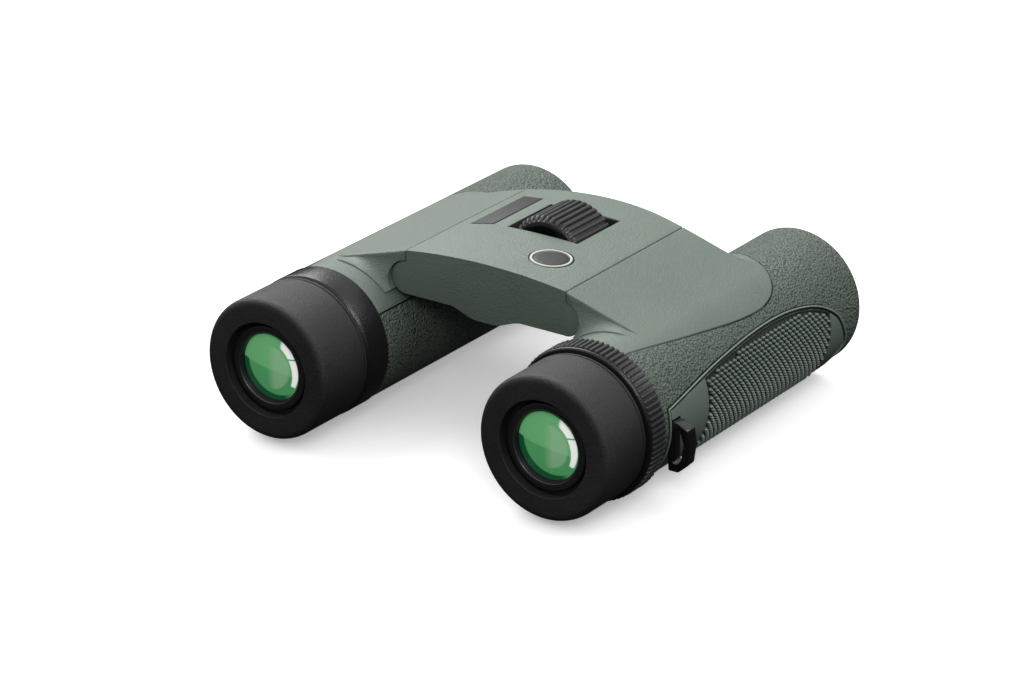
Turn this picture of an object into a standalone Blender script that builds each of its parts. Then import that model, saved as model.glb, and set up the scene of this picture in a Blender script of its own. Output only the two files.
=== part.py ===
"""Compact roof-prism binoculars with two hinges: every sub-part as its own solid.

Metres, +Z up. The user looks along +Y. The origin is under the middle of the object, on the
surface that it lies on. Distances called "from the face" run forward from the eyecups' front
faces; heights called "rise" are counted from the barrel axes.
"""

import math

import bmesh
import bpy
from mathutils import Matrix, Vector

# ---------------------------------------------------------------- driving dimensions
LENGTH = 0.1072            # eyecup face to objective rim
AXIS_OFFSET = 0.03755      # barrel axis from the middle plane, fully opened
BARREL_RADIUS = 0.0167     # outside of the rubber armour
ARMOUR_WALL = 0.0015
TUBE_WALL = 0.0010
HINGE_OFFSET = 0.0218      # hinge axis from the middle plane
HINGE_RISE = 0.0153
GAP = 0.0003               # between neighbouring pieces
RUNNING_GAP = 0.00005      # shaft in its bearing

BRIDGE_START = 0.0322      # from the face
BRIDGE_LENGTH = 0.0481
BRIDGE_BOW = 0.0027        # how far the front edge bows forward in the middle
BRIDGE_TOP = 0.0220        # rise of the top skin over a hinge
BRIDGE_CROWN = 0.00155     # how much higher the top skin is in the middle
BRIDGE_UNDERSIDE = 0.01145
BRIDGE_BELLY = 0.0094      # rise of the lower middle of the underside
BELLY_HALF = 0.0022
BELLY_BLEND = 0.0078
BRIDGE_WALL = 0.0018
KNUCKLE_RADIUS = 0.0039
CAVITY_HALF = 0.0166
COVER_PLATE = 0.0015

HINGE_PIN_RADIUS = 0.0012
HINGE_EYE_LENGTH = 0.0063
REAR_EYE_START = 0.0115    # from the bridge's rear face
FRONT_EYE_START = 0.0303

WHEEL_RADIUS = 0.0100
WHEEL_RISE = 0.0171
WHEEL_START = 0.0240       # from the bridge's rear face
WHEEL_LENGTH = 0.0150
WINDOW_HALF = 0.0096
WINDOW_MARGIN = 0.0013
WHEEL_DISH = 0.0018
WHEEL_CHAMFER = 0.0008
WHEEL_CLEARANCE = 0.0004
POD_WALL = 0.0009
SPINDLE_RADIUS = 0.0018
BUSH_WALL = 0.0012
BUSH_LENGTH = 0.0040
BOSS_WALL = 0.0014

CARRIAGE_START = 0.0138    # from the bridge's rear face
CARRIAGE_LENGTH = 0.0040
CARRIAGE_HALF_HEIGHT = 0.0018
FORK_INNER = 0.0126        # from the middle plane
FORK_WIDTH = 0.0030
PRONG = 0.0009
FOCUS_TRAVEL = 0.0020      # each way
ARM_CENTRE = 0.0243        # from the bridge's rear face
ARM_THICKNESS = 0.0026
ARM_HALF_WIDTH = 0.0012
ARM_PAD_RADIUS = 0.0022
ARM_CLEARANCE = 0.0004

COLLAR_START = 0.0240      # from the face
WING_START = 0.0320
COVER_UNDERLAP = math.radians(12.2)    # of the cover past the hinge, round the barrel
COVER_OVERRUN = 0.0077     # the cover's tongue ahead of the bridge
WING_FACET = 0.0020
# the seam's points: shares of the overrun ahead of the bridge, angles from straight outwards
COVER_SEAM = ((-1.8, 44.6), (-0.57, 49.7), (0.13, 66.4), (0.53, 90.4), (0.83, 114), (1, 138))
PAD_START = 0.0243
PAD_END_MARGIN = 0.0055    # pad's tip behind the objective rim
PAD_CENTRE = math.radians(-22)
PAD_PROUD = 0.00025
PAD_THICKNESS = 0.0010
PAD_EDGE = ((0, 15.7), (0.299, 28.6), (0.597, 34), (0.796, 27.4), (0.925, 10.1),
            (0.987, -12.9), (1, -20))    # share of its length, angle of its upper edge

EYECUP_RADIUS = 0.0168
EYECUP_LENGTH = 0.0159
EYECUP_TRAVEL = 0.0080
EYECUP_OPENING = 0.0112
EYECUP_FACE = 0.0023
EYECUP_ROUND = 0.0017
RUBBER_WALL = 0.0023
CORE_WALL = 0.0009
GUIDE_WALL = 0.0007
RING_RADIUS = 0.0169
RING_BEVEL = 0.0006
DIOPTER_RADIUS = 0.0180
DIOPTER_START = 0.0153
DIOPTER_LENGTH = 0.0063
DIOPTER_TRAVEL = 0.0013    # of the right ocular cell, each way

OCULAR_RADIUS = 0.0100
OCULAR_WALL = 0.0011
OCULAR_CLEARANCE = 0.0001  # of the right cell behind the face, fully out
OCULAR_LENGTH = 0.0186
OCULAR_LIP = 0.0007
OCULAR_SHOULDER = 0.00096  # step from the cell's bore in to the lens opening
EYE_LENS_EDGE = 0.0016
FIELD_LENS_START = 0.0140
FIELD_LENS_EDGE = 0.0022
EYEPIECE_WALL = 0.0017
FLANGE_LENGTH = 0.0040
OBJECTIVE_APERTURE = 0.0125
RIM_OPENING = 0.0143
OBJECTIVE_SEAT = 0.0100    # lens front edge behind the rim
OBJECTIVE_EDGE = 0.0030
RETAINER_LENGTH = 0.0018
RIM_ROUND = 0.0015
FOCUS_LENS_RADIUS = 0.0102
FOCUS_LENS_EDGE = 0.0028
FOCUS_CELL_LENGTH = 0.0060
FOCUS_CELL_LIP = 0.0010    # thickness of its inner lip, which reaches in by 0.8 of that

CAGE_START = 0.0270
CAGE_LENGTH = 0.0230
CAGE_END = 0.0012
PRISM_WIDTH = 0.0150
PRISM_BORE = 0.0070
PRISM_DROP = 0.0092        # prisms' undersides below the barrel axis
PRISM_HEIGHT = 0.0165
PRISM_ROOF = 0.0015
PRISM_LEAN = 0.0050        # how far the air gap between the prisms leans
PRISM_SHARE = 0.45         # of the cage, for the rear prism

LUG_START = 0.0250
LUG_LENGTH = 0.0032
LUG_REACH = 0.0215         # from the barrel axis
LUG_WALL = 0.0015
LUG_ROOT = 0.0002          # how deep the foot stands off the tube's armour floor
LUG_HIGH = 0.0016          # rise of its top
LUG_LOW = 0.0102           # its bottom under the barrel axis
LUG_WAIST = 0.0032         # its furthest point under the barrel axis
LUG_SHOULDER = 0.0033      # top corner inside the reach
LUG_CORNER = 0.0006
LUG_HEEL = 0.0078          # lower outer corner under the barrel axis
LUG_TOE = 0.0030           # bottom corner inside the reach

PLATE_X = (-0.0187, -0.01355)
PLATE_START = 0.0214       # from the bridge's rear face
PLATE_LENGTH = 0.0213
TRIM_HEADROOM = 0.0005     # how far a recess's cutter stands over the skin
BADGE_X = 0.0097
BADGE_CENTRE = 0.0121      # from the bridge's rear face
BADGE_RADIUS = 0.0050
TRIM_THICKNESS = 0.0007
SCREW_X = 0.0125
SCREW_INSET = 0.0048       # from the bridge's ends
SCREW_HEAD_RADIUS = 0.0016
SCREW_HEAD = 0.0008
SCREW_SHANK_RADIUS = 0.0008
SCREW_LENGTH = 0.0055
POST_WALL = 0.0012

VISIBLE_STEPS = 32
INNER_STEPS = 20
SMALL_STEPS = 14
HAIR = 0.00002             # keeps joined faces from lying in one plane
OVERCUT = 0.001            # how far a cutter runs past what it opens

# ---------------------------------------------------------------- sizes that follow
AXIS_HEIGHT = DIOPTER_RADIUS
OCULAR_BORE = OCULAR_RADIUS - OCULAR_WALL
EYE_LENS_APERTURE = OCULAR_BORE - OCULAR_SHOULDER
OCULAR_FRONT = DIOPTER_TRAVEL + OCULAR_CLEARANCE
EYE_FACE = -LENGTH / 2
TUBE_OUTER = BARREL_RADIUS - ARMOUR_WALL - GAP
TUBE_INNER = TUBE_OUTER - TUBE_WALL
COVER_INNER = BARREL_RADIUS - ARMOUR_WALL
BRIDGE_END = BRIDGE_START + BRIDGE_LENGTH
TROUGH_RADIUS = KNUCKLE_RADIUS + GAP
PIN_BORE = HINGE_PIN_RADIUS + RUNNING_GAP
SEAM_X = HINGE_OFFSET + GAP / 2
AXIS_TO_HINGE = math.hypot(AXIS_OFFSET - HINGE_OFFSET, HINGE_RISE)
HINGE_ANGLE = math.atan2(HINGE_RISE, HINGE_OFFSET - AXIS_OFFSET)
COVER_INNER_EDGE = HINGE_ANGLE + COVER_UNDERLAP
CORNER_ANGLE = math.atan2(BRIDGE_TOP, SEAM_X - AXIS_OFFSET)
CORNER_REACH = math.hypot(BRIDGE_TOP, SEAM_X - AXIS_OFFSET)
TANGENT_ANGLE = CORNER_ANGLE - math.acos(BARREL_RADIUS / CORNER_REACH)
LEFT = -1
RIGHT = 1
SIDE_NAME = {LEFT: "left", RIGHT: "right"}


# ---------------------------------------------------------------- scene helpers
def along(distance):
    """World Y of a distance from the eyecups' front faces."""
    return EYE_FACE + distance


def on_bridge(distance):
    """World Y of a distance from the bridge's rear face."""
    return along(BRIDGE_START + distance)


def risen(rise):
    """World Z of a height above the barrel axes."""
    return AXIS_HEIGHT + rise


def clear_scene():
    for old in list(bpy.data.objects):
        bpy.data.objects.remove(old)


def new_collection(name):
    made = bpy.data.collections.new(name)
    bpy.context.scene.collection.children.link(made)
    return made


clear_scene()
PARTS = new_collection("binoculars")
CUTTERS = new_collection("cutters")
FINISHES = {
    "soft_touch": ((0.27, 0.33, 0.28), 0.55, 0.0),
    "armour": ((0.17, 0.23, 0.18), 0.62, 0.0),
    "black_plastic": ((0.02, 0.02, 0.02), 0.35, 0.0),
    "black_rubber": ((0.03, 0.03, 0.03), 0.6, 0.0),
    "black_metal": ((0.03, 0.03, 0.035), 0.4, 1.0),
    "steel": ((0.6, 0.6, 0.62), 0.3, 1.0),
    "brass": ((0.7, 0.55, 0.25), 0.3, 1.0),
    "aluminium": ((0.45, 0.46, 0.48), 0.4, 1.0),
    "coated_glass": ((0.15, 0.55, 0.3), 0.05, 0.0),
    "prism_glass": ((0.8, 0.85, 0.85), 0.05, 0.0),
}


def finish(name, finish_name):
    colour, roughness, metallic = FINISHES[finish_name]
    made = bpy.data.materials.new(name)
    made.use_nodes = True
    shader = made.node_tree.nodes["Principled BSDF"]
    shader.inputs["Base Color"].default_value = (*colour, 1)
    shader.inputs["Roughness"].default_value = roughness
    shader.inputs["Metallic"].default_value = metallic
    return made


def empty_at(name, place):
    made = bpy.data.objects.new(name, None)
    made.location = place
    made.empty_display_size = 0.01
    PARTS.objects.link(made)
    return made


def part(obj, finish_name, parent=None):
    """Puts a finished solid in the object's collection, on its moving parent."""
    PARTS.objects.link(obj)
    obj.data.materials.clear()
    obj.data.materials.append(finish(obj.name, finish_name))
    if parent:
        obj.parent = parent
        obj.matrix_parent_inverse = Matrix.Translation(parent.location).inverted()
    return obj


def cutter(obj):
    CUTTERS.objects.link(obj)
    obj.hide_render = True
    obj.display_type = "WIRE"
    return obj


def combine(target, other, operation="DIFFERENCE"):
    modifier = target.modifiers.new(operation.title(), "BOOLEAN")
    modifier.operation = operation
    modifier.solver = "EXACT"
    modifier.object = other


def cut(target, *others):
    for other in others:
        combine(target, other)


def join(target, *others):
    for other in others:
        combine(target, other, "UNION")


def smooth(mesh):
    mesh.shade_smooth()
    mesh.set_sharp_from_angle(angle=math.radians(35))


# ---------------------------------------------------------------- shape makers
def turned(name, profile, centre, steps=INNER_STEPS):
    """A solid turned about a line along Y; profile holds (radius, world Y) corners.

    A profile that touches the axis is an open line, any other is a closed ring section.
    """
    touches_axis = profile[0][0] == 0
    loop = list(profile)
    area = sum(a[0] * b[1] - b[0] * a[1] for a, b in zip(loop, loop[1:] + loop[:1]))
    if area > 0:
        loop.reverse()
    edges = [(i, i + 1) for i in range(len(loop) - 1)]
    if not touches_axis:
        edges.append((len(loop) - 1, 0))
    mesh = bpy.data.meshes.new(name)
    mesh.from_pydata([(radius, 0, y) for radius, y in loop], edges, [])
    obj = bpy.data.objects.new(name, mesh)
    obj.location = (centre[0], 0, centre[1])
    obj.rotation_euler = (-math.pi / 2, 0, 0)
    screw = obj.modifiers.new("Turn", "SCREW")
    screw.axis = "Z"
    screw.angle = 2 * math.pi
    screw.steps = steps
    screw.render_steps = steps
    screw.use_merge_vertices = True
    screw.merge_threshold = 0.00001
    screw.use_smooth_shade = True
    return obj


def ring(name, inner, outer, start, end, centre, steps=INNER_STEPS):
    """A plain tube along Y between two world Y values."""
    profile = [(inner, end), (outer, end), (outer, start), (inner, start)]
    return turned(name, profile, centre, steps)


def rod(name, radius, start, end, centre, steps=SMALL_STEPS):
    """A plain cylinder along Y between two world Y values."""
    mesh = bpy.data.meshes.new(name)
    shape = bmesh.new()
    bmesh.ops.create_cone(shape, cap_ends=True, segments=steps, radius1=radius, radius2=radius,
                          depth=end - start)
    shape.to_mesh(mesh)
    shape.free()
    smooth(mesh)
    obj = bpy.data.objects.new(name, mesh)
    obj.location = (centre[0], (start + end) / 2, centre[1])
    obj.rotation_euler = (-math.pi / 2, 0, 0)
    return obj


def upright_rod(name, radius, low, high, place, steps=SMALL_STEPS):
    """A plain cylinder along Z; place is its (x, y)."""
    obj = rod(name, radius, low, high, (0, 0), steps)
    obj.location = (place[0], place[1], (low + high) / 2)
    obj.rotation_euler = (0, 0, 0)
    return obj


def box(name, low, high, matrix=None):
    size = [b - a for a, b in zip(low, high)]
    middle = [(a + b) / 2 for a, b in zip(low, high)]
    mesh = bpy.data.meshes.new(name)
    shape = bmesh.new()
    place = Matrix.Translation(middle) @ Matrix.Diagonal((*size, 1))
    bmesh.ops.create_cube(shape, size=1, matrix=place)
    shape.to_mesh(mesh)
    shape.free()
    obj = bpy.data.objects.new(name, mesh)
    if matrix:
        obj.matrix_world = matrix
    return obj


def extruded(name, outline, start, end):
    """A flat outline of (x, world Z) points, extruded along Y between two world Y values."""
    curve = bpy.data.curves.new(name, "CURVE")
    curve.dimensions = "2D"
    curve.fill_mode = "BOTH"
    curve.extrude = (end - start) / 2
    spline = curve.splines.new("POLY")
    spline.points.add(len(outline) - 1)
    spline.use_cyclic_u = True
    for point, (x, z) in zip(spline.points, outline):
        point.co = (x, z, 0, 1)
    flat = bpy.data.objects.new(name + "_outline", curve)
    flat.location = (0, (start + end) / 2, 0)
    flat.rotation_euler = (math.pi / 2, 0, 0)
    CUTTERS.objects.link(flat)
    bpy.context.view_layer.update()
    evaluated = flat.evaluated_get(bpy.context.evaluated_depsgraph_get())
    mesh = bpy.data.meshes.new_from_object(evaluated)
    place = flat.matrix_world.copy()
    bpy.data.objects.remove(flat)
    mesh.name = name
    shape = bmesh.new()
    shape.from_mesh(mesh)
    bmesh.ops.remove_doubles(shape, verts=shape.verts, dist=0.000001)
    bmesh.ops.dissolve_limit(shape, angle_limit=0.0002, verts=shape.verts, edges=shape.edges)
    bmesh.ops.recalc_face_normals(shape, faces=shape.faces)
    shape.to_mesh(mesh)
    shape.free()
    obj = bpy.data.objects.new(name, mesh)
    obj.matrix_world = place
    return obj


def sector(name, side, stations, inner):
    """A loft round a barrel's axis.

    Each station is (world Y, [(angle, outer radius), ...]); angles count from straight
    outwards over the top, and every station has the same number of them.
    """
    def place(radius, angle, y):
        x = side * (AXIS_OFFSET + radius * math.cos(angle))
        return Vector((x, y, risen(radius * math.sin(angle))))

    shape = bmesh.new()
    outside = []
    inside = []
    for y, rim in stations:
        outside.append([shape.verts.new(place(radius, angle, y)) for angle, radius in rim])
        inside.append([shape.verts.new(place(inner, angle, y)) for angle, radius in rim])
    last = len(stations[0][1]) - 1
    for near, far in ((k, k + 1) for k in range(len(stations) - 1)):
        for i in range(last):
            for skin in (outside, inside):
                shape.faces.new((skin[near][i], skin[near][i + 1], skin[far][i + 1], skin[far][i]))
        for i in (0, last):
            shape.faces.new((outside[near][i], outside[far][i], inside[far][i], inside[near][i]))
    for k in (0, len(stations) - 1):
        for i in range(last):
            shape.faces.new((outside[k][i], outside[k][i + 1], inside[k][i + 1], inside[k][i]))
    bmesh.ops.recalc_face_normals(shape, faces=shape.faces)
    mesh = bpy.data.meshes.new(name)
    shape.to_mesh(mesh)
    shape.free()
    smooth(mesh)
    return bpy.data.objects.new(name, mesh)


def through(points, x):
    """The height at x of a smooth curve through the points, held level past its ends."""
    if x <= points[0][0]:
        return points[0][1]
    if x >= points[-1][0]:
        return points[-1][1]
    slopes = []
    for i in range(len(points)):
        before = points[max(i - 1, 0)]
        after = points[min(i + 1, len(points) - 1)]
        slopes.append((after[1] - before[1]) / (after[0] - before[0]))
    i = max(k for k in range(len(points) - 1) if points[k][0] <= x)
    (x0, y0), (x1, y1) = points[i], points[i + 1]
    span = x1 - x0
    t = (x - x0) / span
    rise = y0 * (1 + 2 * t) * (1 - t) ** 2 + y1 * t * t * (3 - 2 * t)
    return rise + span * (slopes[i] * t * (1 - t) ** 2 - slopes[i + 1] * t * t * (1 - t))


def spread(start, end, count):
    """Evenly spaced values from start to end, both included."""
    return [start + (end - start) * i / (count - 1) for i in range(count)]


def arc(centre, radius, start, end, count):
    """Points (x, z) of an arc between two angles in degrees."""
    angles = [math.radians(angle) for angle in spread(start, end, count)]
    return [(centre[0] + radius * math.cos(a), centre[1] + radius * math.sin(a)) for a in angles]


def mirrored(half):
    """A closed outline from its right half, given from the middle out and round."""
    return half + [(-x, z) for x, z in reversed(half) if x > 0]


# ---------------------------------------------------------------- bridge
def top_skin(x):
    """Rise of the bridge's crowned top at x."""
    return BRIDGE_TOP + BRIDGE_CROWN * (1 - (x / HINGE_OFFSET) ** 2)


def underside(x):
    """Rise of the bridge's underside at x, with its lower middle."""
    t = min(max((abs(x) - BELLY_HALF) / BELLY_BLEND, 0), 1)
    return BRIDGE_BELLY + (BRIDGE_UNDERSIDE - BRIDGE_BELLY) * t * t * (3 - 2 * t)


def bridge_outline():
    edge = HINGE_OFFSET - GAP / 2
    half = [(x, risen(top_skin(x))) for x in spread(0, edge, 9)]
    half += arc((HINGE_OFFSET, risen(HINGE_RISE)), KNUCKLE_RADIUS, 92, -90, 13)
    half += [(x, risen(underside(x))) for x in belly_bends()]
    return mirrored(half)


def belly_bends():
    """Places across the underside where it curves, from the outer one inwards."""
    return spread(BELLY_HALF + BELLY_BLEND, BELLY_HALF, 8)


def bridge_plan():
    """Upright block whose front is the bridge's bowed front edge."""
    half_width = HINGE_OFFSET + 3 * KNUCKLE_RADIUS
    bow_half = HINGE_OFFSET - KNUCKLE_RADIUS / 5
    bow = [(x, on_bridge(BRIDGE_LENGTH + BRIDGE_BOW * (1 - (x / bow_half) ** 2)))
           for x in spread(-bow_half, bow_half, 12)]
    back = on_bridge(-0.01)
    front = on_bridge(BRIDGE_LENGTH)
    outline = [(-half_width, back), (-half_width, front)] + bow
    outline += [(half_width, front), (half_width, back)]
    block = extruded("bridge_plan", outline, 0, 0.06)
    block.matrix_world = Matrix.Translation((0, 0, 0.03))
    return cutter(block)


def hinge_point(side):
    return (side * HINGE_OFFSET, risen(HINGE_RISE))


def make_bridge():
    spindle = (0, risen(WHEEL_RISE))
    housing = extruded("bridge_housing", bridge_outline(), on_bridge(0),
                       on_bridge(BRIDGE_LENGTH + 2 * BRIDGE_BOW))
    combine(housing, bridge_plan(), "INTERSECT")

    roof = [(x, risen(top_skin(x) - BRIDGE_WALL)) for x in spread(-CAVITY_HALF, CAVITY_HALF, 9)]
    room = roof + [(CAVITY_HALF, 0), (-CAVITY_HALF, 0)]
    cut(housing, cutter(extruded("bridge_room", room, on_bridge(BRIDGE_WALL),
                                 on_bridge(BRIDGE_LENGTH - BRIDGE_WALL))))

    boss = SPINDLE_RADIUS + BUSH_WALL + GAP + BOSS_WALL
    reach = BRIDGE_WALL + BUSH_LENGTH
    join(housing,
         cutter(rod("rear_boss", boss, on_bridge(BRIDGE_WALL / 2), on_bridge(reach), spindle)),
         cutter(rod("front_boss", boss, on_bridge(BRIDGE_LENGTH - reach),
                    on_bridge(BRIDGE_LENGTH - BRIDGE_WALL / 2), spindle)))
    for name, x, y in screw_places():
        low = risen(BRIDGE_UNDERSIDE + COVER_PLATE + GAP)
        high = risen(top_skin(x) - BRIDGE_WALL / 2)
        radius = SCREW_SHANK_RADIUS + GAP + POST_WALL
        join(housing, cutter(upright_rod("post_" + name, radius, low, high, (x, y))))
    for name, x, y in screw_places():
        high = risen(underside(x) + SCREW_LENGTH + GAP)
        cut(housing, cutter(upright_rod("post_hole_" + name, SCREW_SHANK_RADIUS + GAP,
                                        risen(BRIDGE_BELLY - OVERCUT), high, (x, y),
                                        SMALL_STEPS)))

    bore = SPINDLE_RADIUS + BUSH_WALL + GAP
    inset = BRIDGE_WALL - GAP
    cut(housing,
        cutter(rod("rear_bush_bore", bore, on_bridge(inset), on_bridge(2 * reach), spindle)),
        cutter(rod("front_bush_bore", bore, on_bridge(BRIDGE_LENGTH - 2 * reach),
                   on_bridge(BRIDGE_LENGTH - inset), spindle)))
    window_start = WHEEL_START - WINDOW_MARGIN
    window_end = WHEEL_START + WHEEL_LENGTH + WINDOW_MARGIN
    cut(housing, cutter(box("wheel_window", (-WINDOW_HALF, on_bridge(window_start), risen(WHEEL_RISE)),
                            (WINDOW_HALF, on_bridge(window_end), risen(2 * BRIDGE_TOP)))))

    for side in (LEFT, RIGHT):
        centre = hinge_point(side)
        word = SIDE_NAME[side]
        slots = [(REAR_EYE_START - GAP, REAR_EYE_START + HINGE_EYE_LENGTH + GAP),
                 (FRONT_EYE_START - GAP, FRONT_EYE_START + HINGE_EYE_LENGTH + GAP),
                 arm_room()]
        for number, (start, end) in enumerate(slots):
            cut(housing, cutter(rod(f"{word}_knuckle_slot_{number}", TROUGH_RADIUS,
                                    on_bridge(start), on_bridge(end), centre, INNER_STEPS)))
        start, end = arm_room()
        ends = sorted((side * (CAVITY_HALF - OVERCUT), side * (HINGE_OFFSET + GAP)))
        inset = 5 * HAIR
        cut(housing,
            cutter(box(f"{word}_arm_way",
                       (ends[0], on_bridge(start + inset), risen(BRIDGE_BELLY / 2)),
                       (ends[1], on_bridge(end - inset),
                        risen(HINGE_RISE + CARRIAGE_HALF_HEIGHT + GAP)))),
            cutter(rod(f"{word}_pin_bore", PIN_BORE, on_bridge(BRIDGE_WALL - GAP),
                       on_bridge(BRIDGE_LENGTH - BRIDGE_WALL + GAP), centre)))
    cut(housing, cutter(plate_solid("plate_recess", GAP)), cutter(badge_solid("badge_recess", GAP)))
    return part(housing, "soft_touch")


def arm_room():
    """Stretch of the bridge, from its rear face, that the focusing arm and fork sweep."""
    half = ARM_THICKNESS / 2 + PRONG + GAP + FOCUS_TRAVEL + ARM_CLEARANCE
    return (ARM_CENTRE - half, ARM_CENTRE + half)


def plate_solid(name, grow):
    low, high = PLATE_X[0] - grow, PLATE_X[1] + grow
    top = TRIM_HEADROOM if grow else 0
    xs = spread(low, high, 4)
    outline = [(x, risen(top_skin(x) + top)) for x in xs]
    outline += [(x, risen(top_skin(x) - TRIM_THICKNESS - grow)) for x in reversed(xs)]
    return extruded(name, outline, on_bridge(PLATE_START - grow),
                    on_bridge(PLATE_START + PLATE_LENGTH + grow))


def badge_solid(name, grow):
    """A disc that leans with the crowned top."""
    slope = 2 * BRIDGE_CROWN * BADGE_X / HINGE_OFFSET ** 2
    top = TRIM_HEADROOM if grow else 0
    disc = upright_rod(name, BADGE_RADIUS + grow, -TRIM_THICKNESS - grow, top, (0, 0), INNER_STEPS)
    lean = Matrix.Rotation(math.atan(slope), 4, "Y")
    middle = Matrix.Translation((0, 0, (top - TRIM_THICKNESS - grow) / 2))
    place = Matrix.Translation((BADGE_X, on_bridge(BADGE_CENTRE), risen(top_skin(BADGE_X))))
    disc.matrix_world = place @ lean @ middle
    return disc


def screw_places():
    ends = (on_bridge(SCREW_INSET), on_bridge(BRIDGE_LENGTH - SCREW_INSET))
    places = [(x, y) for y in ends for x in (-SCREW_X, SCREW_X)]
    return [(str(number + 1), x, y) for number, (x, y) in enumerate(places)]


def make_bottom_cover():
    half = CAVITY_HALF - GAP
    bends = [half] + belly_bends()
    xs = [-x for x in bends] + bends[::-1]
    outline = [(x, risen(underside(x))) for x in xs]
    outline += [(x, risen(underside(x) + COVER_PLATE)) for x in reversed(xs)]
    start = on_bridge(BRIDGE_WALL + GAP)
    end = on_bridge(BRIDGE_LENGTH - BRIDGE_WALL - GAP)
    plate = extruded("bridge_bottom_cover", outline, start, end)
    axle = (0, risen(WHEEL_RISE))
    clear = WHEEL_RADIUS + WHEEL_CLEARANCE
    pod = arc(axle, clear + POD_WALL, -153, -27, 16)
    pod_start = on_bridge(WHEEL_START - WINDOW_MARGIN)
    pod_end = on_bridge(WHEEL_START + WHEEL_LENGTH + WINDOW_MARGIN)
    join(plate, cutter(extruded("wheel_pod", pod, pod_start - POD_WALL, pod_end + POD_WALL)))
    cut(plate, cutter(rod("wheel_room", clear, pod_start, pod_end, axle, VISIBLE_STEPS)))
    for name, x, y in screw_places():
        low = risen(underside(x))
        cut(plate,
            cutter(upright_rod("head_room_" + name, SCREW_HEAD_RADIUS + GAP, low - OVERCUT,
                               low + SCREW_HEAD + GAP / 2, (x, y))),
            cutter(upright_rod("shank_room_" + name, SCREW_SHANK_RADIUS + GAP, low,
                               low + COVER_PLATE + OVERCUT, (x, y), SMALL_STEPS)))
    part(plate, "soft_touch")
    for name, x, y in screw_places():
        low = risen(underside(x))
        head = upright_rod("bottom_cover_screw_" + name, SCREW_HEAD_RADIUS, low + GAP / 2,
                           low + SCREW_HEAD, (x, y))
        shank = upright_rod("shank_" + name, SCREW_SHANK_RADIUS, low + SCREW_HEAD / 2,
                            low + SCREW_LENGTH, (x, y), SMALL_STEPS)
        join(head, cutter(shank))
        part(head, "steel")


def make_bridge_fittings():
    part(plate_solid("name_plate", 0), "black_plastic")
    part(badge_solid("badge", 0), "black_plastic")
    for side in (LEFT, RIGHT):
        centre = hinge_point(side)
        rear = (BRIDGE_WALL, arm_room()[0] - GAP / 2)
        front = (arm_room()[1] + GAP / 2, BRIDGE_LENGTH - BRIDGE_WALL)
        for word, (start, end) in (("rear", rear), ("front", front)):
            name = f"{SIDE_NAME[side]}_hinge_pin_{word}"
            part(rod(name, HINGE_PIN_RADIUS, on_bridge(start), on_bridge(end), centre), "steel")


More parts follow.
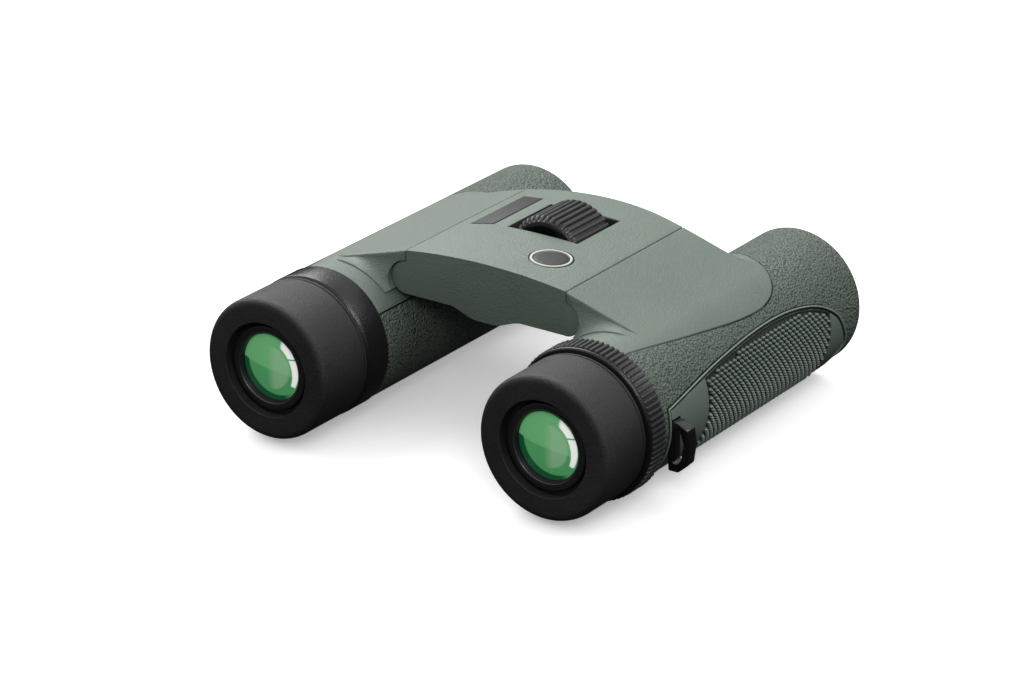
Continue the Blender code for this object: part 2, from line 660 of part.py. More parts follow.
# ---------------------------------------------------------------- focusing drive
def make_focus_drive():
    axle = (0, risen(WHEEL_RISE))
    turning = empty_at("focus_axis", (0, on_bridge(WHEEL_START), axle[1]))
    start = on_bridge(WHEEL_START)
    end = start + WHEEL_LENGTH
    bore = SPINDLE_RADIUS + GAP
    lip = WHEEL_RADIUS - 2 * WHEEL_CHAMFER
    hub = WHEEL_RADIUS / 2
    profile = [
        (bore, end - WHEEL_DISH), (hub, end - WHEEL_DISH), (lip, end),
        (WHEEL_RADIUS - WHEEL_CHAMFER, end), (WHEEL_RADIUS, end - WHEEL_CHAMFER),
        (WHEEL_RADIUS, start + WHEEL_CHAMFER), (WHEEL_RADIUS - WHEEL_CHAMFER, start),
        (lip, start), (hub, start + WHEEL_DISH), (bore, start + WHEEL_DISH)]
    part(turned("focus_wheel", profile, axle, VISIBLE_STEPS), "black_rubber", turning)
    spindle = rod("focus_spindle", SPINDLE_RADIUS, on_bridge(BRIDGE_WALL + GAP),
                  on_bridge(BRIDGE_LENGTH - BRIDGE_WALL - GAP), axle)
    part(spindle, "brass", turning)
    inner = SPINDLE_RADIUS + RUNNING_GAP
    outer = SPINDLE_RADIUS + BUSH_WALL
    spans = (("rear", BRIDGE_WALL, BRIDGE_WALL + BUSH_LENGTH),
             ("front", BRIDGE_LENGTH - BRIDGE_WALL - BUSH_LENGTH, BRIDGE_LENGTH - BRIDGE_WALL))
    for word, near, far in spans:
        bush = ring("focus_bush_" + word, inner, outer, on_bridge(near), on_bridge(far), axle)
        part(bush, "brass")

    sliding = empty_at("carriage_axis", (0, on_bridge(CARRIAGE_START), axle[1]))
    low = risen(HINGE_RISE - CARRIAGE_HALF_HEIGHT)
    high = risen(HINGE_RISE + CARRIAGE_HALF_HEIGHT)
    back = on_bridge(CARRIAGE_START)
    fork_end = on_bridge(ARM_CENTRE) + ARM_THICKNESS / 2 + GAP + PRONG
    fork_outer = FORK_INNER + FORK_WIDTH
    carriage = box("focus_carriage", (-fork_outer, back, low),
                   (fork_outer, back + CARRIAGE_LENGTH, high))
    for side in (LEFT, RIGHT):
        word = SIDE_NAME[side]
        ends = sorted((side * FORK_INNER, side * fork_outer))
        join(carriage, cutter(box(word + "_fork",
                                  (ends[0] + HAIR, back + CARRIAGE_LENGTH / 2, low + HAIR),
                                  (ends[1] - HAIR, fork_end, high - HAIR))))
        ends = sorted((side * (FORK_INNER + 2 * HAIR), side * HINGE_OFFSET))
        middle = on_bridge(ARM_CENTRE)
        hollow = ARM_THICKNESS / 2 + GAP
        for number, near in enumerate((middle - hollow - PRONG, middle + hollow)):
            far = near + PRONG - (HAIR if number else 0)
            join(carriage, cutter(box(f"{word}_prong_{number}", (ends[0], near, low + 2 * HAIR),
                                      (ends[1], far, high - 2 * HAIR))))
    nut = SPINDLE_RADIUS + 2 * BUSH_WALL
    join(carriage, cutter(rod("nut", nut, back + 5 * HAIR, back + CARRIAGE_LENGTH - 5 * HAIR,
                              axle, INNER_STEPS)))
    cut(carriage, cutter(rod("nut_bore", SPINDLE_RADIUS + GAP, back - OVERCUT,
                             back + CARRIAGE_LENGTH + OVERCUT, axle)))
    part(carriage, "brass", sliding)


# ---------------------------------------------------------------- barrel shells
def cover_seam(distance):
    """Angle of the top cover's outer seam, at a distance from the face."""
    front = BRIDGE_END
    points = [(COLLAR_START, 68.7), (BRIDGE_START + 0.29 * BRIDGE_LENGTH, 53.6)]
    points += [(front + share * COVER_OVERRUN, angle) for share, angle in COVER_SEAM]
    return math.radians(through(points, distance))


def pad_edge(distance):
    """Angle of the grip pad's upper edge, at a distance from the face."""
    span = LENGTH - PAD_END_MARGIN - PAD_START
    return math.radians(through(PAD_EDGE, (distance - PAD_START) / span))


def wing_radius(angle, amount):
    """Outer radius of the cover where the wing stands by amount (0 flush, 1 full)."""
    if not TANGENT_ANGLE < angle < HINGE_ANGLE:
        return BARREL_RADIUS
    if angle < CORNER_ANGLE:
        full = BARREL_RADIUS / math.cos(angle - TANGENT_ANGLE)
    else:
        full = (AXIS_OFFSET - SEAM_X) / -math.cos(angle)
    return BARREL_RADIUS + (full - BARREL_RADIUS) * amount


def cover_angles(low):
    """Angles across the cover from its outer seam to its inner edge, with its corners."""
    least = math.radians(0.4)
    marks = [low]
    for mark in (TANGENT_ANGLE, CORNER_ANGLE, HINGE_ANGLE - 0.0005, HINGE_ANGLE,
                 COVER_INNER_EDGE):
        marks.append(max(mark, marks[-1] + least))
    counts = (4, 5, 1, 1, 2)
    angles = []
    for near, far, count in zip(marks, marks[1:], counts):
        angles += spread(near, far, count + 1)[:-1]
    return angles + [marks[-1]]


def collar_start(side):
    """The right barrel's green shell reaches back to the diopter ring."""
    if side == RIGHT:
        return DIOPTER_START + DIOPTER_LENGTH + GAP
    return COLLAR_START


def cover_rows(side):
    """Distances from the face along the cover, each with how far its wing stands there."""
    rows = [(collar_start(side), 0), (WING_START - GAP, 0), (WING_START, 1)]
    rows += [(y, 1) for y in spread(WING_START, BRIDGE_END, 9)[1:]]
    rows += [(BRIDGE_END + WING_FACET, 0)]
    rows += [(y, 0) for y in spread(BRIDGE_END + WING_FACET, BRIDGE_END + COVER_OVERRUN, 6)[1:]]
    return rows


def cover_stations(side):
    stations = []
    for distance, amount in cover_rows(side):
        angles = cover_angles(cover_seam(distance))
        rim = [(angle, wing_radius(angle, amount)) for angle in angles]
        stations.append((along(distance), rim))
    return stations


def arm_slot(side):
    """Block along the line from the barrel axis to the hinge, for the focusing arm."""
    half = ARM_HALF_WIDTH + ARM_CLEARANCE
    sweep = ARM_THICKNESS / 2 + FOCUS_TRAVEL + ARM_CLEARANCE
    lean = HINGE_ANGLE if side == RIGHT else math.pi - HINGE_ANGLE
    place = Matrix.Translation((side * AXIS_OFFSET, on_bridge(ARM_CENTRE), AXIS_HEIGHT))
    place = place @ Matrix.Rotation(-lean, 4, "Y")
    return cutter(box(SIDE_NAME[side] + "_arm_slot", (FOCUS_LENS_RADIUS, -sweep, -half),
                      (AXIS_TO_HINGE, sweep, half), place))


def make_cover(side, parent, slot):
    word = SIDE_NAME[side]
    centre = hinge_point(side)
    cover = sector(word + "_top_cover", side, cover_stations(side), COVER_INNER)
    rear_eye = (REAR_EYE_START, REAR_EYE_START + HINGE_EYE_LENGTH)
    front_eye = (FRONT_EYE_START, FRONT_EYE_START + HINGE_EYE_LENGTH)
    troughs = [(-OVERCUT, rear_eye[0]), (rear_eye[1], front_eye[0]),
               (front_eye[1], BRIDGE_LENGTH + WING_FACET + OVERCUT)]
    for number, (start, end) in enumerate(troughs):
        cut(cover, cutter(rod(f"{word}_trough_{number}", TROUGH_RADIUS, on_bridge(start),
                              on_bridge(end), centre, VISIBLE_STEPS)))
    for number, (start, end) in enumerate((rear_eye, front_eye)):
        join(cover, cutter(rod(f"{word}_eye_{number}", KNUCKLE_RADIUS, on_bridge(start + HAIR),
                               on_bridge(end - HAIR), centre, INNER_STEPS)))
    cut(cover, slot, cutter(rod(word + "_eye_bore", PIN_BORE, on_bridge(OVERCUT),
                                on_bridge(BRIDGE_LENGTH - OVERCUT), centre)))
    part(cover, "soft_touch", parent)


def make_armour(side, parent):
    word = SIDE_NAME[side]
    axis = (side * AXIS_OFFSET, AXIS_HEIGHT)
    rear = along(collar_start(side))
    rim = along(LENGTH)
    profile = [
        (RIM_OPENING, rim), (BARREL_RADIUS - RIM_ROUND, rim),
        (BARREL_RADIUS - RIM_ROUND * 0.3, rim - RIM_ROUND * 0.3),
        (BARREL_RADIUS, rim - RIM_ROUND), (BARREL_RADIUS, rear), (COVER_INNER, rear),
        (COVER_INNER, rim - ARMOUR_WALL), (RIM_OPENING, rim - ARMOUR_WALL)]
    armour = turned(word + "_armour", profile, axis, VISIBLE_STEPS)

    turn = GAP / BARREL_RADIUS
    rows = [distance for distance, amount in cover_rows(side)]
    rows = [rows[0] - OVERCUT] + rows + [rows[-1] + GAP]
    outside = BARREL_RADIUS + 2 * OVERCUT
    stations = []
    for distance in rows:
        low = min(cover_seam(distance - GAP), cover_seam(distance)) - turn
        angles = spread(low, COVER_INNER_EDGE + turn, 12)
        stations.append((along(distance), [(angle, outside) for angle in angles]))
    cut(armour, cutter(sector(word + "_cover_room", side, stations,
                              COVER_INNER - OVERCUT)))
    floor = BARREL_RADIUS + PAD_PROUD - PAD_THICKNESS - GAP
    cut(armour, cutter(pad_solid(word + "_pad_room", side, GAP, floor, outside)))
    cut(armour, cutter(lug_foot(side, GAP)))
    part(armour, "armour", parent)


def pad_solid(name, side, grow, inner, outer):
    tip = LENGTH - PAD_END_MARGIN
    turn = grow / BARREL_RADIUS
    rows = spread(PAD_START, tip - 0.006, 9) + [tip - 0.003, tip - 0.001, tip]
    stations = []
    for number, distance in enumerate(rows):
        high = pad_edge(distance) + turn
        low = 2 * PAD_CENTRE - high
        if number == 0:
            distance -= grow
        elif number == len(rows) - 1:
            distance += grow
        stations.append((along(distance), [(angle, outer) for angle in spread(low, high, 12)]))
    return sector(name, side, stations, inner)


def lug_outline(side, inner, grow):
    """The strap lug's loop in the XZ plane, from its foot at a radius round to its lip."""
    high = LUG_HIGH + grow
    low = -LUG_LOW - grow
    reach = LUG_REACH + grow
    corners = [(inner, high), (reach - LUG_SHOULDER, high),
               (reach - LUG_CORNER, high - 2 * LUG_CORNER), (reach, -LUG_WAIST),
               (reach - LUG_CORNER, -LUG_HEEL), (reach - LUG_TOE, low),
               (inner + LUG_CORNER, low)]
    return [(side * (AXIS_OFFSET + x), risen(z)) for x, z in corners]


def lug_foot(side, grow):
    outline = lug_outline(side, COVER_INNER + LUG_ROOT - grow, grow)
    name = SIDE_NAME[side] + "_lug_foot"
    return extruded(name, outline, along(LUG_START) - grow, along(LUG_START + LUG_LENGTH) + grow)


def make_pad(side, parent):
    word = SIDE_NAME[side]
    outer = BARREL_RADIUS + PAD_PROUD
    pad = pad_solid(word + "_grip_pad", side, 0, outer - PAD_THICKNESS, outer)
    notch = lug_foot(side, GAP)
    notch.name = word + "_pad_notch"
    cut(pad, cutter(notch))
    part(pad, "armour", parent)


def make_lug(side, parent):
    word = SIDE_NAME[side]
    outline = lug_outline(side, COVER_INNER + LUG_ROOT, 0)
    lug = extruded(word + "_strap_lug", outline, along(LUG_START), along(LUG_START + LUG_LENGTH))
    inner = BARREL_RADIUS + PAD_PROUD + GAP
    reach = LUG_REACH - LUG_WALL
    high = LUG_HIGH - LUG_WALL
    low = LUG_WALL - LUG_LOW
    hole = [(inner, high), (reach - 2 * LUG_CORNER, high), (reach, -LUG_WAIST),
            (reach - LUG_CORNER, -LUG_HEEL + LUG_CORNER), (reach - LUG_WALL, low),
            (inner, low + LUG_CORNER)]
    outline = [(side * (AXIS_OFFSET + x), risen(z)) for x, z in hole]
    cut(lug, cutter(extruded(word + "_strap_hole", outline, along(LUG_START - OVERCUT),
                             along(LUG_START + LUG_LENGTH + OVERCUT))))
    part(lug, "black_plastic", parent)


def make_tube(side, parent, slot):
    word = SIDE_NAME[side]
    start = DIOPTER_START + 3 * GAP
    tube = ring(word + "_barrel_tube", TUBE_INNER, TUBE_OUTER, along(start),
                along(LENGTH - ARMOUR_WALL - GAP), (side * AXIS_OFFSET, AXIS_HEIGHT),
                VISIBLE_STEPS)
    cut(tube, slot)
    part(tube, "aluminium", parent)


# ---------------------------------------------------------------- optics
def lens(name, radius, start, edge, front_bulge, rear_bulge, axis, finish_name, parent):
    """A turned lens; start is its eye-side rim and edge its rim thickness."""
    def bulged(amount, y):
        count = 3
        return [(radius * i / count, y + amount * (1 - (i / count) ** 2))
                for i in range(count + 1)]

    front = bulged(front_bulge, start + edge)
    rear = bulged(-rear_bulge, start)
    obj = turned(name, front + rear[::-1], axis)
    part(obj, finish_name, parent)


def make_objective(side, parent):
    word = SIDE_NAME[side]
    axis = (side * AXIS_OFFSET, AXIS_HEIGHT)
    seat = TUBE_INNER - GAP
    front = along(LENGTH - OBJECTIVE_SEAT)
    lens(word + "_objective_lens", seat, front - OBJECTIVE_EDGE, OBJECTIVE_EDGE, 0.0012, 0.0006,
         axis, "coated_glass", parent)
    retainer = ring(word + "_objective_retainer", OBJECTIVE_APERTURE, seat, front + GAP,
                    front + GAP + RETAINER_LENGTH, axis)
    part(retainer, "black_metal", parent)


def make_prisms(side, parent):
    word = SIDE_NAME[side]
    axis = (side * AXIS_OFFSET, AXIS_HEIGHT)
    x = axis[0]
    start = along(CAGE_START)
    end = start + CAGE_LENGTH
    half = PRISM_WIDTH / 2
    cage = rod(word + "_prism_cage", TUBE_INNER - GAP, start, end, axis, INNER_STEPS)
    low = AXIS_HEIGHT - PRISM_DROP
    room = box(word + "_prism_room", (x - half - GAP, start + CAGE_END, low - GAP),
               (x + half + GAP, end - CAGE_END, AXIS_HEIGHT + TUBE_OUTER))
    cut(cage, cutter(room), cutter(rod(word + "_prism_way", PRISM_BORE, start - OVERCUT,
                                       end + OVERCUT, axis)))
    part(cage, "aluminium", parent)

    near = start + CAGE_END + GAP
    far = end - CAGE_END - GAP
    split = near + (far - near) * PRISM_SHARE
    shoulder = low + PRISM_HEIGHT
    rear = [(near, low), (split - PRISM_LEAN * 0.3, low), (split + PRISM_LEAN * 0.7, shoulder),
            (split - PRISM_LEAN * 0.7, shoulder + PRISM_ROOF), (near, shoulder - PRISM_ROOF)]
    front = [(split - PRISM_LEAN * 0.3 + 2 * GAP, low), (far, low), (far, shoulder),
             (split + PRISM_LEAN * 0.7 + 2 * GAP, shoulder)]
    for name, outline in (("_prism_rear", rear), ("_prism_front", front)):
        glass = extruded(word + name, outline, -half, half)
        turn = Matrix.Rotation(math.pi / 2, 4, "X")
        glass.matrix_world = Matrix.Translation((x, 0, 0)) @ Matrix.Rotation(
            math.pi / 2, 4, "Z") @ turn
        part(glass, "prism_glass", parent)


def make_focus_cell(side, parent):
    word = SIDE_NAME[side]
    axis = (side * AXIS_OFFSET, AXIS_HEIGHT)
    sliding = empty_at(word + "_focus_axis", (axis[0], on_bridge(ARM_CENTRE), axis[1]))
    sliding.parent = parent
    sliding.matrix_parent_inverse = Matrix.Translation(parent.location).inverted()
    middle = on_bridge(ARM_CENTRE)
    half = FOCUS_CELL_LENGTH / 2
    bore = FOCUS_LENS_RADIUS + GAP
    outer = TUBE_INNER - GAP
    lip = bore - 0.8 * FOCUS_CELL_LIP
    seat = middle - half + FOCUS_CELL_LIP
    profile = [(bore, middle + half), (outer, middle + half), (outer, middle - half),
               (lip, middle - half), (lip, seat), (bore, seat)]
    cell = turned(word + "_focus_cell", profile, axis)
    lean = HINGE_ANGLE if side == RIGHT else math.pi - HINGE_ANGLE
    place = Matrix.Translation((axis[0], middle, axis[1])) @ Matrix.Rotation(-lean, 4, "Y")
    thick = ARM_THICKNESS / 2
    arm = box(word + "_arm", ((bore + outer) / 2, -thick, -ARM_HALF_WIDTH),
              (AXIS_TO_HINGE, thick, ARM_HALF_WIDTH), place)
    pad = rod(word + "_arm_pad", ARM_PAD_RADIUS, middle - thick + HAIR, middle + thick - HAIR,
              hinge_point(side))
    join(cell, cutter(arm), cutter(pad))
    part(cell, "black_metal", sliding)
    lens(word + "_focus_lens", FOCUS_LENS_RADIUS, seat + GAP, FOCUS_LENS_EDGE, -0.0009, 0.0006,
         axis, "prism_glass", sliding)


def make_ocular(side, parent):
    word = SIDE_NAME[side]
    axis = (side * AXIS_OFFSET, AXIS_HEIGHT)
    holder = parent
    if side == RIGHT:
        holder = empty_at("diopter_slide_axis", (axis[0], along(OCULAR_FRONT), axis[1]))
        holder.parent = parent
        holder.matrix_parent_inverse = Matrix.Translation(parent.location).inverted()
    front = along(OCULAR_FRONT)
    back = front + OCULAR_LENGTH
    bore = OCULAR_BORE
    lip = OCULAR_LIP
    profile = [(bore, back), (OCULAR_RADIUS, back), (OCULAR_RADIUS, front),
               (EYE_LENS_APERTURE + 0.7 * lip, front), (EYE_LENS_APERTURE, front + lip),
               (EYE_LENS_APERTURE, front + 2 * lip), (bore, front + 2 * lip)]
    part(turned(word + "_ocular_cell", profile, axis), "black_metal", holder)
    seat = bore - GAP
    lens_start = front + 2 * lip + GAP
    lens(word + "_eye_lens", seat, lens_start, EYE_LENS_EDGE, 0.0004, 0.0010, axis,
         "coated_glass", holder)
    field_start = along(FIELD_LENS_START)
    spacer = ring(word + "_ocular_spacer", EYE_LENS_APERTURE - GAP, seat,
                  lens_start + EYE_LENS_EDGE + 2 * GAP, field_start - GAP, axis)
    part(spacer, "black_metal", holder)
    lens(word + "_field_lens", seat, field_start, FIELD_LENS_EDGE, 0.0009, -0.0004, axis,
         "prism_glass", holder)

    tube_inner = OCULAR_RADIUS + GAP
    tube_outer = tube_inner + EYEPIECE_WALL
    flange = TUBE_INNER - GAP
    start = front + lip * 2
    stop = along(CAGE_START) - GAP
    profile = [(tube_inner, stop), (flange, stop), (flange, stop - FLANGE_LENGTH),
               (tube_outer, stop - FLANGE_LENGTH), (tube_outer, start), (tube_inner, start)]
    part(turned(word + "_eyepiece_tube", profile, axis), "black_metal", parent)
    return tube_outer


def eyecup_length(side):
    if side == RIGHT:
        return DIOPTER_START - GAP
    return EYECUP_LENGTH


def make_eyecup(side, parent, tube_outer):
    word = SIDE_NAME[side]
    axis = (side * AXIS_OFFSET, AXIS_HEIGHT)
    sliding = empty_at(word + "_eyecup_slide_axis", (axis[0], along(0), axis[1]))
    sliding.parent = parent
    sliding.matrix_parent_inverse = Matrix.Translation(parent.location).inverted()
    turning = empty_at(word + "_eyecup_turn_axis", (axis[0], along(0), axis[1]))
    turning.parent = sliding
    turning.matrix_parent_inverse = Matrix.Translation(sliding.location).inverted()
    face = along(0)
    end = along(eyecup_length(side))
    guide_inner = tube_outer + GAP
    guide_outer = guide_inner + GUIDE_WALL
    part(ring(word + "_eyecup_guide", guide_inner, guide_outer, face + EYECUP_FACE + 3 * GAP,
              end - 4 * GAP, axis), "brass", sliding)
    core_outer = EYECUP_RADIUS - RUBBER_WALL - GAP
    core = ring(word + "_eyecup_core", guide_outer + GAP, core_outer, face + EYECUP_FACE + GAP,
                end - 2 * GAP, axis)
    part(core, "black_plastic", turning)
    bend = [(EYECUP_RADIUS - EYECUP_ROUND * (1 - math.sin(a)),
             face + EYECUP_ROUND * (1 - math.cos(a))) for a in spread(math.pi / 2, 0, 4)]
    profile = [(EYECUP_RADIUS - RUBBER_WALL, end), (EYECUP_RADIUS, end)] + bend + [
        (EYECUP_OPENING, face), (EYECUP_OPENING, face + EYECUP_FACE),
        (EYECUP_RADIUS - RUBBER_WALL, face + EYECUP_FACE)]
    part(turned(word + "_eyecup_rubber", profile, axis, VISIBLE_STEPS), "black_rubber", turning)


def make_rings(hinges):
    left_axis = (LEFT * AXIS_OFFSET, AXIS_HEIGHT)
    bevel = RING_BEVEL
    start = along(EYECUP_LENGTH + GAP)
    end = along(COLLAR_START - GAP)
    inner = TUBE_OUTER + GAP
    profile = [(inner, end), (RING_RADIUS, end), (RING_RADIUS, start + bevel),
               (RING_RADIUS - bevel, start), (inner, start)]
    part(turned("left_collar_ring", profile, left_axis, VISIBLE_STEPS), "black_plastic",
         hinges[LEFT])

    right_axis = (RIGHT * AXIS_OFFSET, AXIS_HEIGHT)
    turning = empty_at("diopter_axis", (right_axis[0], along(DIOPTER_START), right_axis[1]))
    turning.parent = hinges[RIGHT]
    turning.matrix_parent_inverse = Matrix.Translation(hinges[RIGHT].location).inverted()
    start = along(DIOPTER_START)
    end = start + DIOPTER_LENGTH
    profile = [(inner, end), (DIOPTER_RADIUS - bevel, end), (DIOPTER_RADIUS, end - bevel),
               (DIOPTER_RADIUS, start + bevel), (DIOPTER_RADIUS - bevel, start),
               (inner, start)]
    part(turned("right_diopter_ring", profile, right_axis, VISIBLE_STEPS), "black_rubber",
         turning)


def make_barrel(side):
    word = SIDE_NAME[side]
    hinge = empty_at(word + "_hinge_axis", (side * HINGE_OFFSET, on_bridge(0), risen(HINGE_RISE)))
    slot = arm_slot(side)
    make_tube(side, hinge, slot)
    make_cover(side, hinge, slot)
    make_armour(side, hinge)
    make_pad(side, hinge)
    make_lug(side, hinge)
    make_objective(side, hinge)
    make_prisms(side, hinge)
    make_focus_cell(side, hinge)
    tube_outer = make_ocular(side, hinge)
    make_eyecup(side, hinge, tube_outer)
    return hinge


make_bridge()
make_bottom_cover()
make_bridge_fittings()
make_focus_drive()
make_rings({side: make_barrel(side) for side in (LEFT, RIGHT)})
bpy.context.view_layer.update()
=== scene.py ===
import math

import bmesh
import bpy
import numpy as np
from mathutils import Matrix, Vector


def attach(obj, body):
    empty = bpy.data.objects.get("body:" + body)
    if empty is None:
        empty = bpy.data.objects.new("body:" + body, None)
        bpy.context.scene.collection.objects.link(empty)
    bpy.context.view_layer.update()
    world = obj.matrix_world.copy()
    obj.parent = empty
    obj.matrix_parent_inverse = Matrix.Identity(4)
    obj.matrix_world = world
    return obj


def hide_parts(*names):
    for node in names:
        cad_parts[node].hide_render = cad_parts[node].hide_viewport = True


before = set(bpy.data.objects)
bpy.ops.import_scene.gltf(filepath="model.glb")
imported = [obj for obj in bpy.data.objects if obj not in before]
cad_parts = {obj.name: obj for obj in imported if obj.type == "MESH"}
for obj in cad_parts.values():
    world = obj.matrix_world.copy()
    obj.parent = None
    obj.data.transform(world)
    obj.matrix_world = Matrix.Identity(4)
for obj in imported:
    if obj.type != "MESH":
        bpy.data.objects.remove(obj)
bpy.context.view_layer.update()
scene = bpy.context.scene
print("stage: frame loaded,", len(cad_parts), "nodes")

# Sizes are millimetres. Distances run forward from the eyecup faces, rises up from the barrel axes.
shared = {
    "eyeFace": -53.6, "axisX": 37.55, "axisHeight": 18.0, "length": 107.2, "barrelRadius": 16.7,
    "wall": 1.5, "gap": 0.3, "hingeX": 21.8, "hingeRise": 15.3, "knuckle": 3.9, "trough": 4.2,
    "pinBore": 1.25, "bridgeRear": 32.2, "bridgeLength": 48.1, "bridgeTop": 22.0, "crown": 1.55,
    "underside": 11.45, "wheelRise": 17.1, "wheelStart": 56.2, "wheelLength": 15.0,
}
innerRadius = shared["barrelRadius"] - shared["wall"]
hingeAngle = math.atan2(shared["hingeRise"], shared["hingeX"] - shared["axisX"])
words = {-1: "left", 1: "right"}


def yAt(distance):
    return shared["eyeFace"] + distance


def zAt(rise):
    return shared["axisHeight"] + rise


def barrelAxis(side):
    return (side * shared["axisX"], shared["axisHeight"])


def hingeAxis(side):
    return (side * shared["hingeX"], zAt(shared["hingeRise"]))


def barrelPoint(side, radius, angle, distance):
    x = side * (shared["axisX"] + radius * math.cos(angle))
    return (x, yAt(distance), zAt(radius * math.sin(angle)))


def spread(start, end, count):
    return [start + (end - start) * i / (count - 1) for i in range(count)]


def through(points, x):
    # smooth curve through the points, held level past both ends
    if x <= points[0][0]:
        return points[0][1]
    if x >= points[-1][0]:
        return points[-1][1]
    slopes = []
    for i in range(len(points)):
        before, after = points[max(i - 1, 0)], points[min(i + 1, len(points) - 1)]
        slopes.append((after[1] - before[1]) / (after[0] - before[0]))
    i = max(k for k in range(len(points) - 1) if points[k][0] <= x)
    (x0, y0), (x1, y1) = points[i], points[i + 1]
    span = x1 - x0
    t = (x - x0) / span
    level = y0 * (1 + 2 * t) * (1 - t) ** 2 + y1 * t * t * (3 - 2 * t)
    return level + span * (slopes[i] * t * (1 - t) ** 2 - slopes[i + 1] * t * t * (1 - t))


def topSkin(x):
    return shared["bridgeTop"] + shared["crown"] * (1 - (x / shared["hingeX"]) ** 2)


def meshObject(name, points, faces, sharp=35):
    # an object at the origin whose place is in its mesh, with its normals outwards
    mesh = bpy.data.meshes.new(name)
    mesh.from_pydata([[c * 0.001 for c in p] for p in points], [], faces)
    shape = bmesh.new()
    shape.from_mesh(mesh)
    bmesh.ops.remove_doubles(shape, verts=shape.verts, dist=0.0000005)
    bmesh.ops.recalc_face_normals(shape, faces=shape.faces)
    shape.to_mesh(mesh)
    shape.free()
    mesh.shade_smooth()
    mesh.set_sharp_from_angle(angle=math.radians(sharp))
    obj = bpy.data.objects.new(name, mesh)
    scene.collection.objects.link(obj)
    return obj


def settle(obj, sharp=35):
    # the modifiers' result becomes the object's own plain mesh
    bpy.context.view_layer.update()
    evaluated = obj.evaluated_get(bpy.context.evaluated_depsgraph_get())
    mesh = bpy.data.meshes.new_from_object(evaluated)
    obj.modifiers.clear()
    obj.data = mesh
    mesh.shade_smooth()
    mesh.set_sharp_from_angle(angle=math.radians(sharp))
    return obj


def carve(obj, *steps, sharp=35):
    # each step is (operation, other object)
    for operation, other in steps:
        modifier = obj.modifiers.new("carve", "BOOLEAN")
        modifier.operation = operation
        modifier.solver = "EXACT"
        modifier.object = other
    settle(obj, sharp)
    for operation, other in steps:
        if other.name in bpy.data.objects:
            bpy.data.objects.remove(other)
    return obj


def cut(*others):
    return [("DIFFERENCE", other) for other in others]


def loft(name, loops, sharp=35, closed=False):
    # skins equal loops of points in order, with end caps unless it closes on itself
    count = len(loops[0])
    points = [p for loop in loops for p in loop]
    faces = []
    for k in range(len(loops) if closed else len(loops) - 1):
        a, b = k * count, (k + 1) % len(loops) * count
        for i in range(count):
            j = (i + 1) % count
            faces.append((a + i, a + j, b + j, b + i))
    if not closed:
        faces.append(tuple(range(count)))
        faces.append(tuple(range(len(points) - count, len(points))))
    return meshObject(name, points, faces, sharp)


def turned(name, profile, centre, steps=160, sharp=35):
    # profile of (radius, distance), a closed section unless both ends touch the axis
    touching = profile[0][0] == 0
    loops = [[(centre[0] + r * c, yAt(d), centre[1] + r * s) for r, d in profile]
             for c, s in circle(1, steps)]
    obj = loft(name, loops, sharp, closed=True)
    if touching:
        # the seam face along the axis has no area once its points merge
        shape = bmesh.new()
        shape.from_mesh(obj.data)
        bmesh.ops.dissolve_degenerate(shape, edges=shape.edges, dist=0.0000001)
        bmesh.ops.recalc_face_normals(shape, faces=shape.faces)
        shape.to_mesh(obj.data)
        shape.free()
    return obj


def rounded(corners, steps=4):
    # profile corners of (radius, distance, rounding), each swapped for a small arc
    made = []
    count = len(corners)
    for i, (r, d, size) in enumerate(corners):
        here = Vector((r, d))
        if not size:
            made.append((r, d))
            continue
        before = Vector(corners[i - 1][:2]) - here
        after = Vector(corners[(i + 1) % count][:2]) - here
        reach = min(size, before.length * 0.48, after.length * 0.48)
        start, end = here + before.normalized() * reach, here + after.normalized() * reach
        for t in spread(0, 1, steps + 1):
            p = start * (1 - t) ** 2 + here * 2 * t * (1 - t) + end * t * t
            made.append((p.x, p.y))
    return made


def circle(radius, steps):
    return [(radius * math.cos(a), radius * math.sin(a)) for a in spread(0, 2 * math.pi, steps + 1)[:-1]]


def rod(name, radius, start, end, centre, steps=96):
    return loft(name, [[(centre[0] + c, yAt(d), centre[1] + s) for c, s in circle(radius, steps)]
                       for d in (start, end)])


def post(name, radius, low, high, place, steps=48):
    return loft(name, [[(place[0] + c, place[1] + s, zAt(rise)) for c, s in circle(radius, steps)]
                       for rise in (low, high)])


def block(name, low, high, matrix=None):
    loops = [[(x, y, z) for x, z in ((low[0], low[2]), (high[0], low[2]),
                                     (high[0], high[2]), (low[0], high[2]))]
             for y in (low[1], high[1])]
    if matrix:
        loops = [[tuple(matrix @ Vector(p)) for p in loop] for loop in loops]
    return loft(name, loops)


def grid(outer, inner):
    # faces and points of a closed shell from two equal grids
    rows, columns = len(outer), len(outer[0])
    points = [p for row in outer for p in row] + [p for row in inner for p in row]
    half = rows * columns
    faces = []
    for i in range(rows - 1):
        for j in range(columns - 1):
            a = i * columns + j
            quad = (a, a + 1, a + columns + 1, a + columns)
            faces.append(quad)
            faces.append(tuple(half + v for v in quad))
    rim = [j for j in range(columns)]
    rim += [i * columns + columns - 1 for i in range(1, rows)]
    rim += [(rows - 1) * columns + j for j in range(columns - 2, -1, -1)]
    rim += [i * columns for i in range(rows - 2, 0, -1)]
    for a, b in zip(rim, rim[1:] + rim[:1]):
        faces.append((a, b, half + b, half + a))
    return points, faces


def bevelled(obj, width, segments=3, angle=40, weighted=False):
    modifier = obj.modifiers.new("edges", "BEVEL")
    modifier.width = width * 0.001
    modifier.segments = segments
    modifier.limit_method = "WEIGHT" if weighted else "ANGLE"
    modifier.angle_limit = math.radians(angle)
    modifier.miter_outer = "MITER_ARC"
    return settle(obj)


def finished(obj, material, body, slotName, *nodes):
    obj.data.materials.clear()
    obj.data.materials.append(material)
    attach(obj, body)
    if nodes:
        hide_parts(*nodes)
    return obj


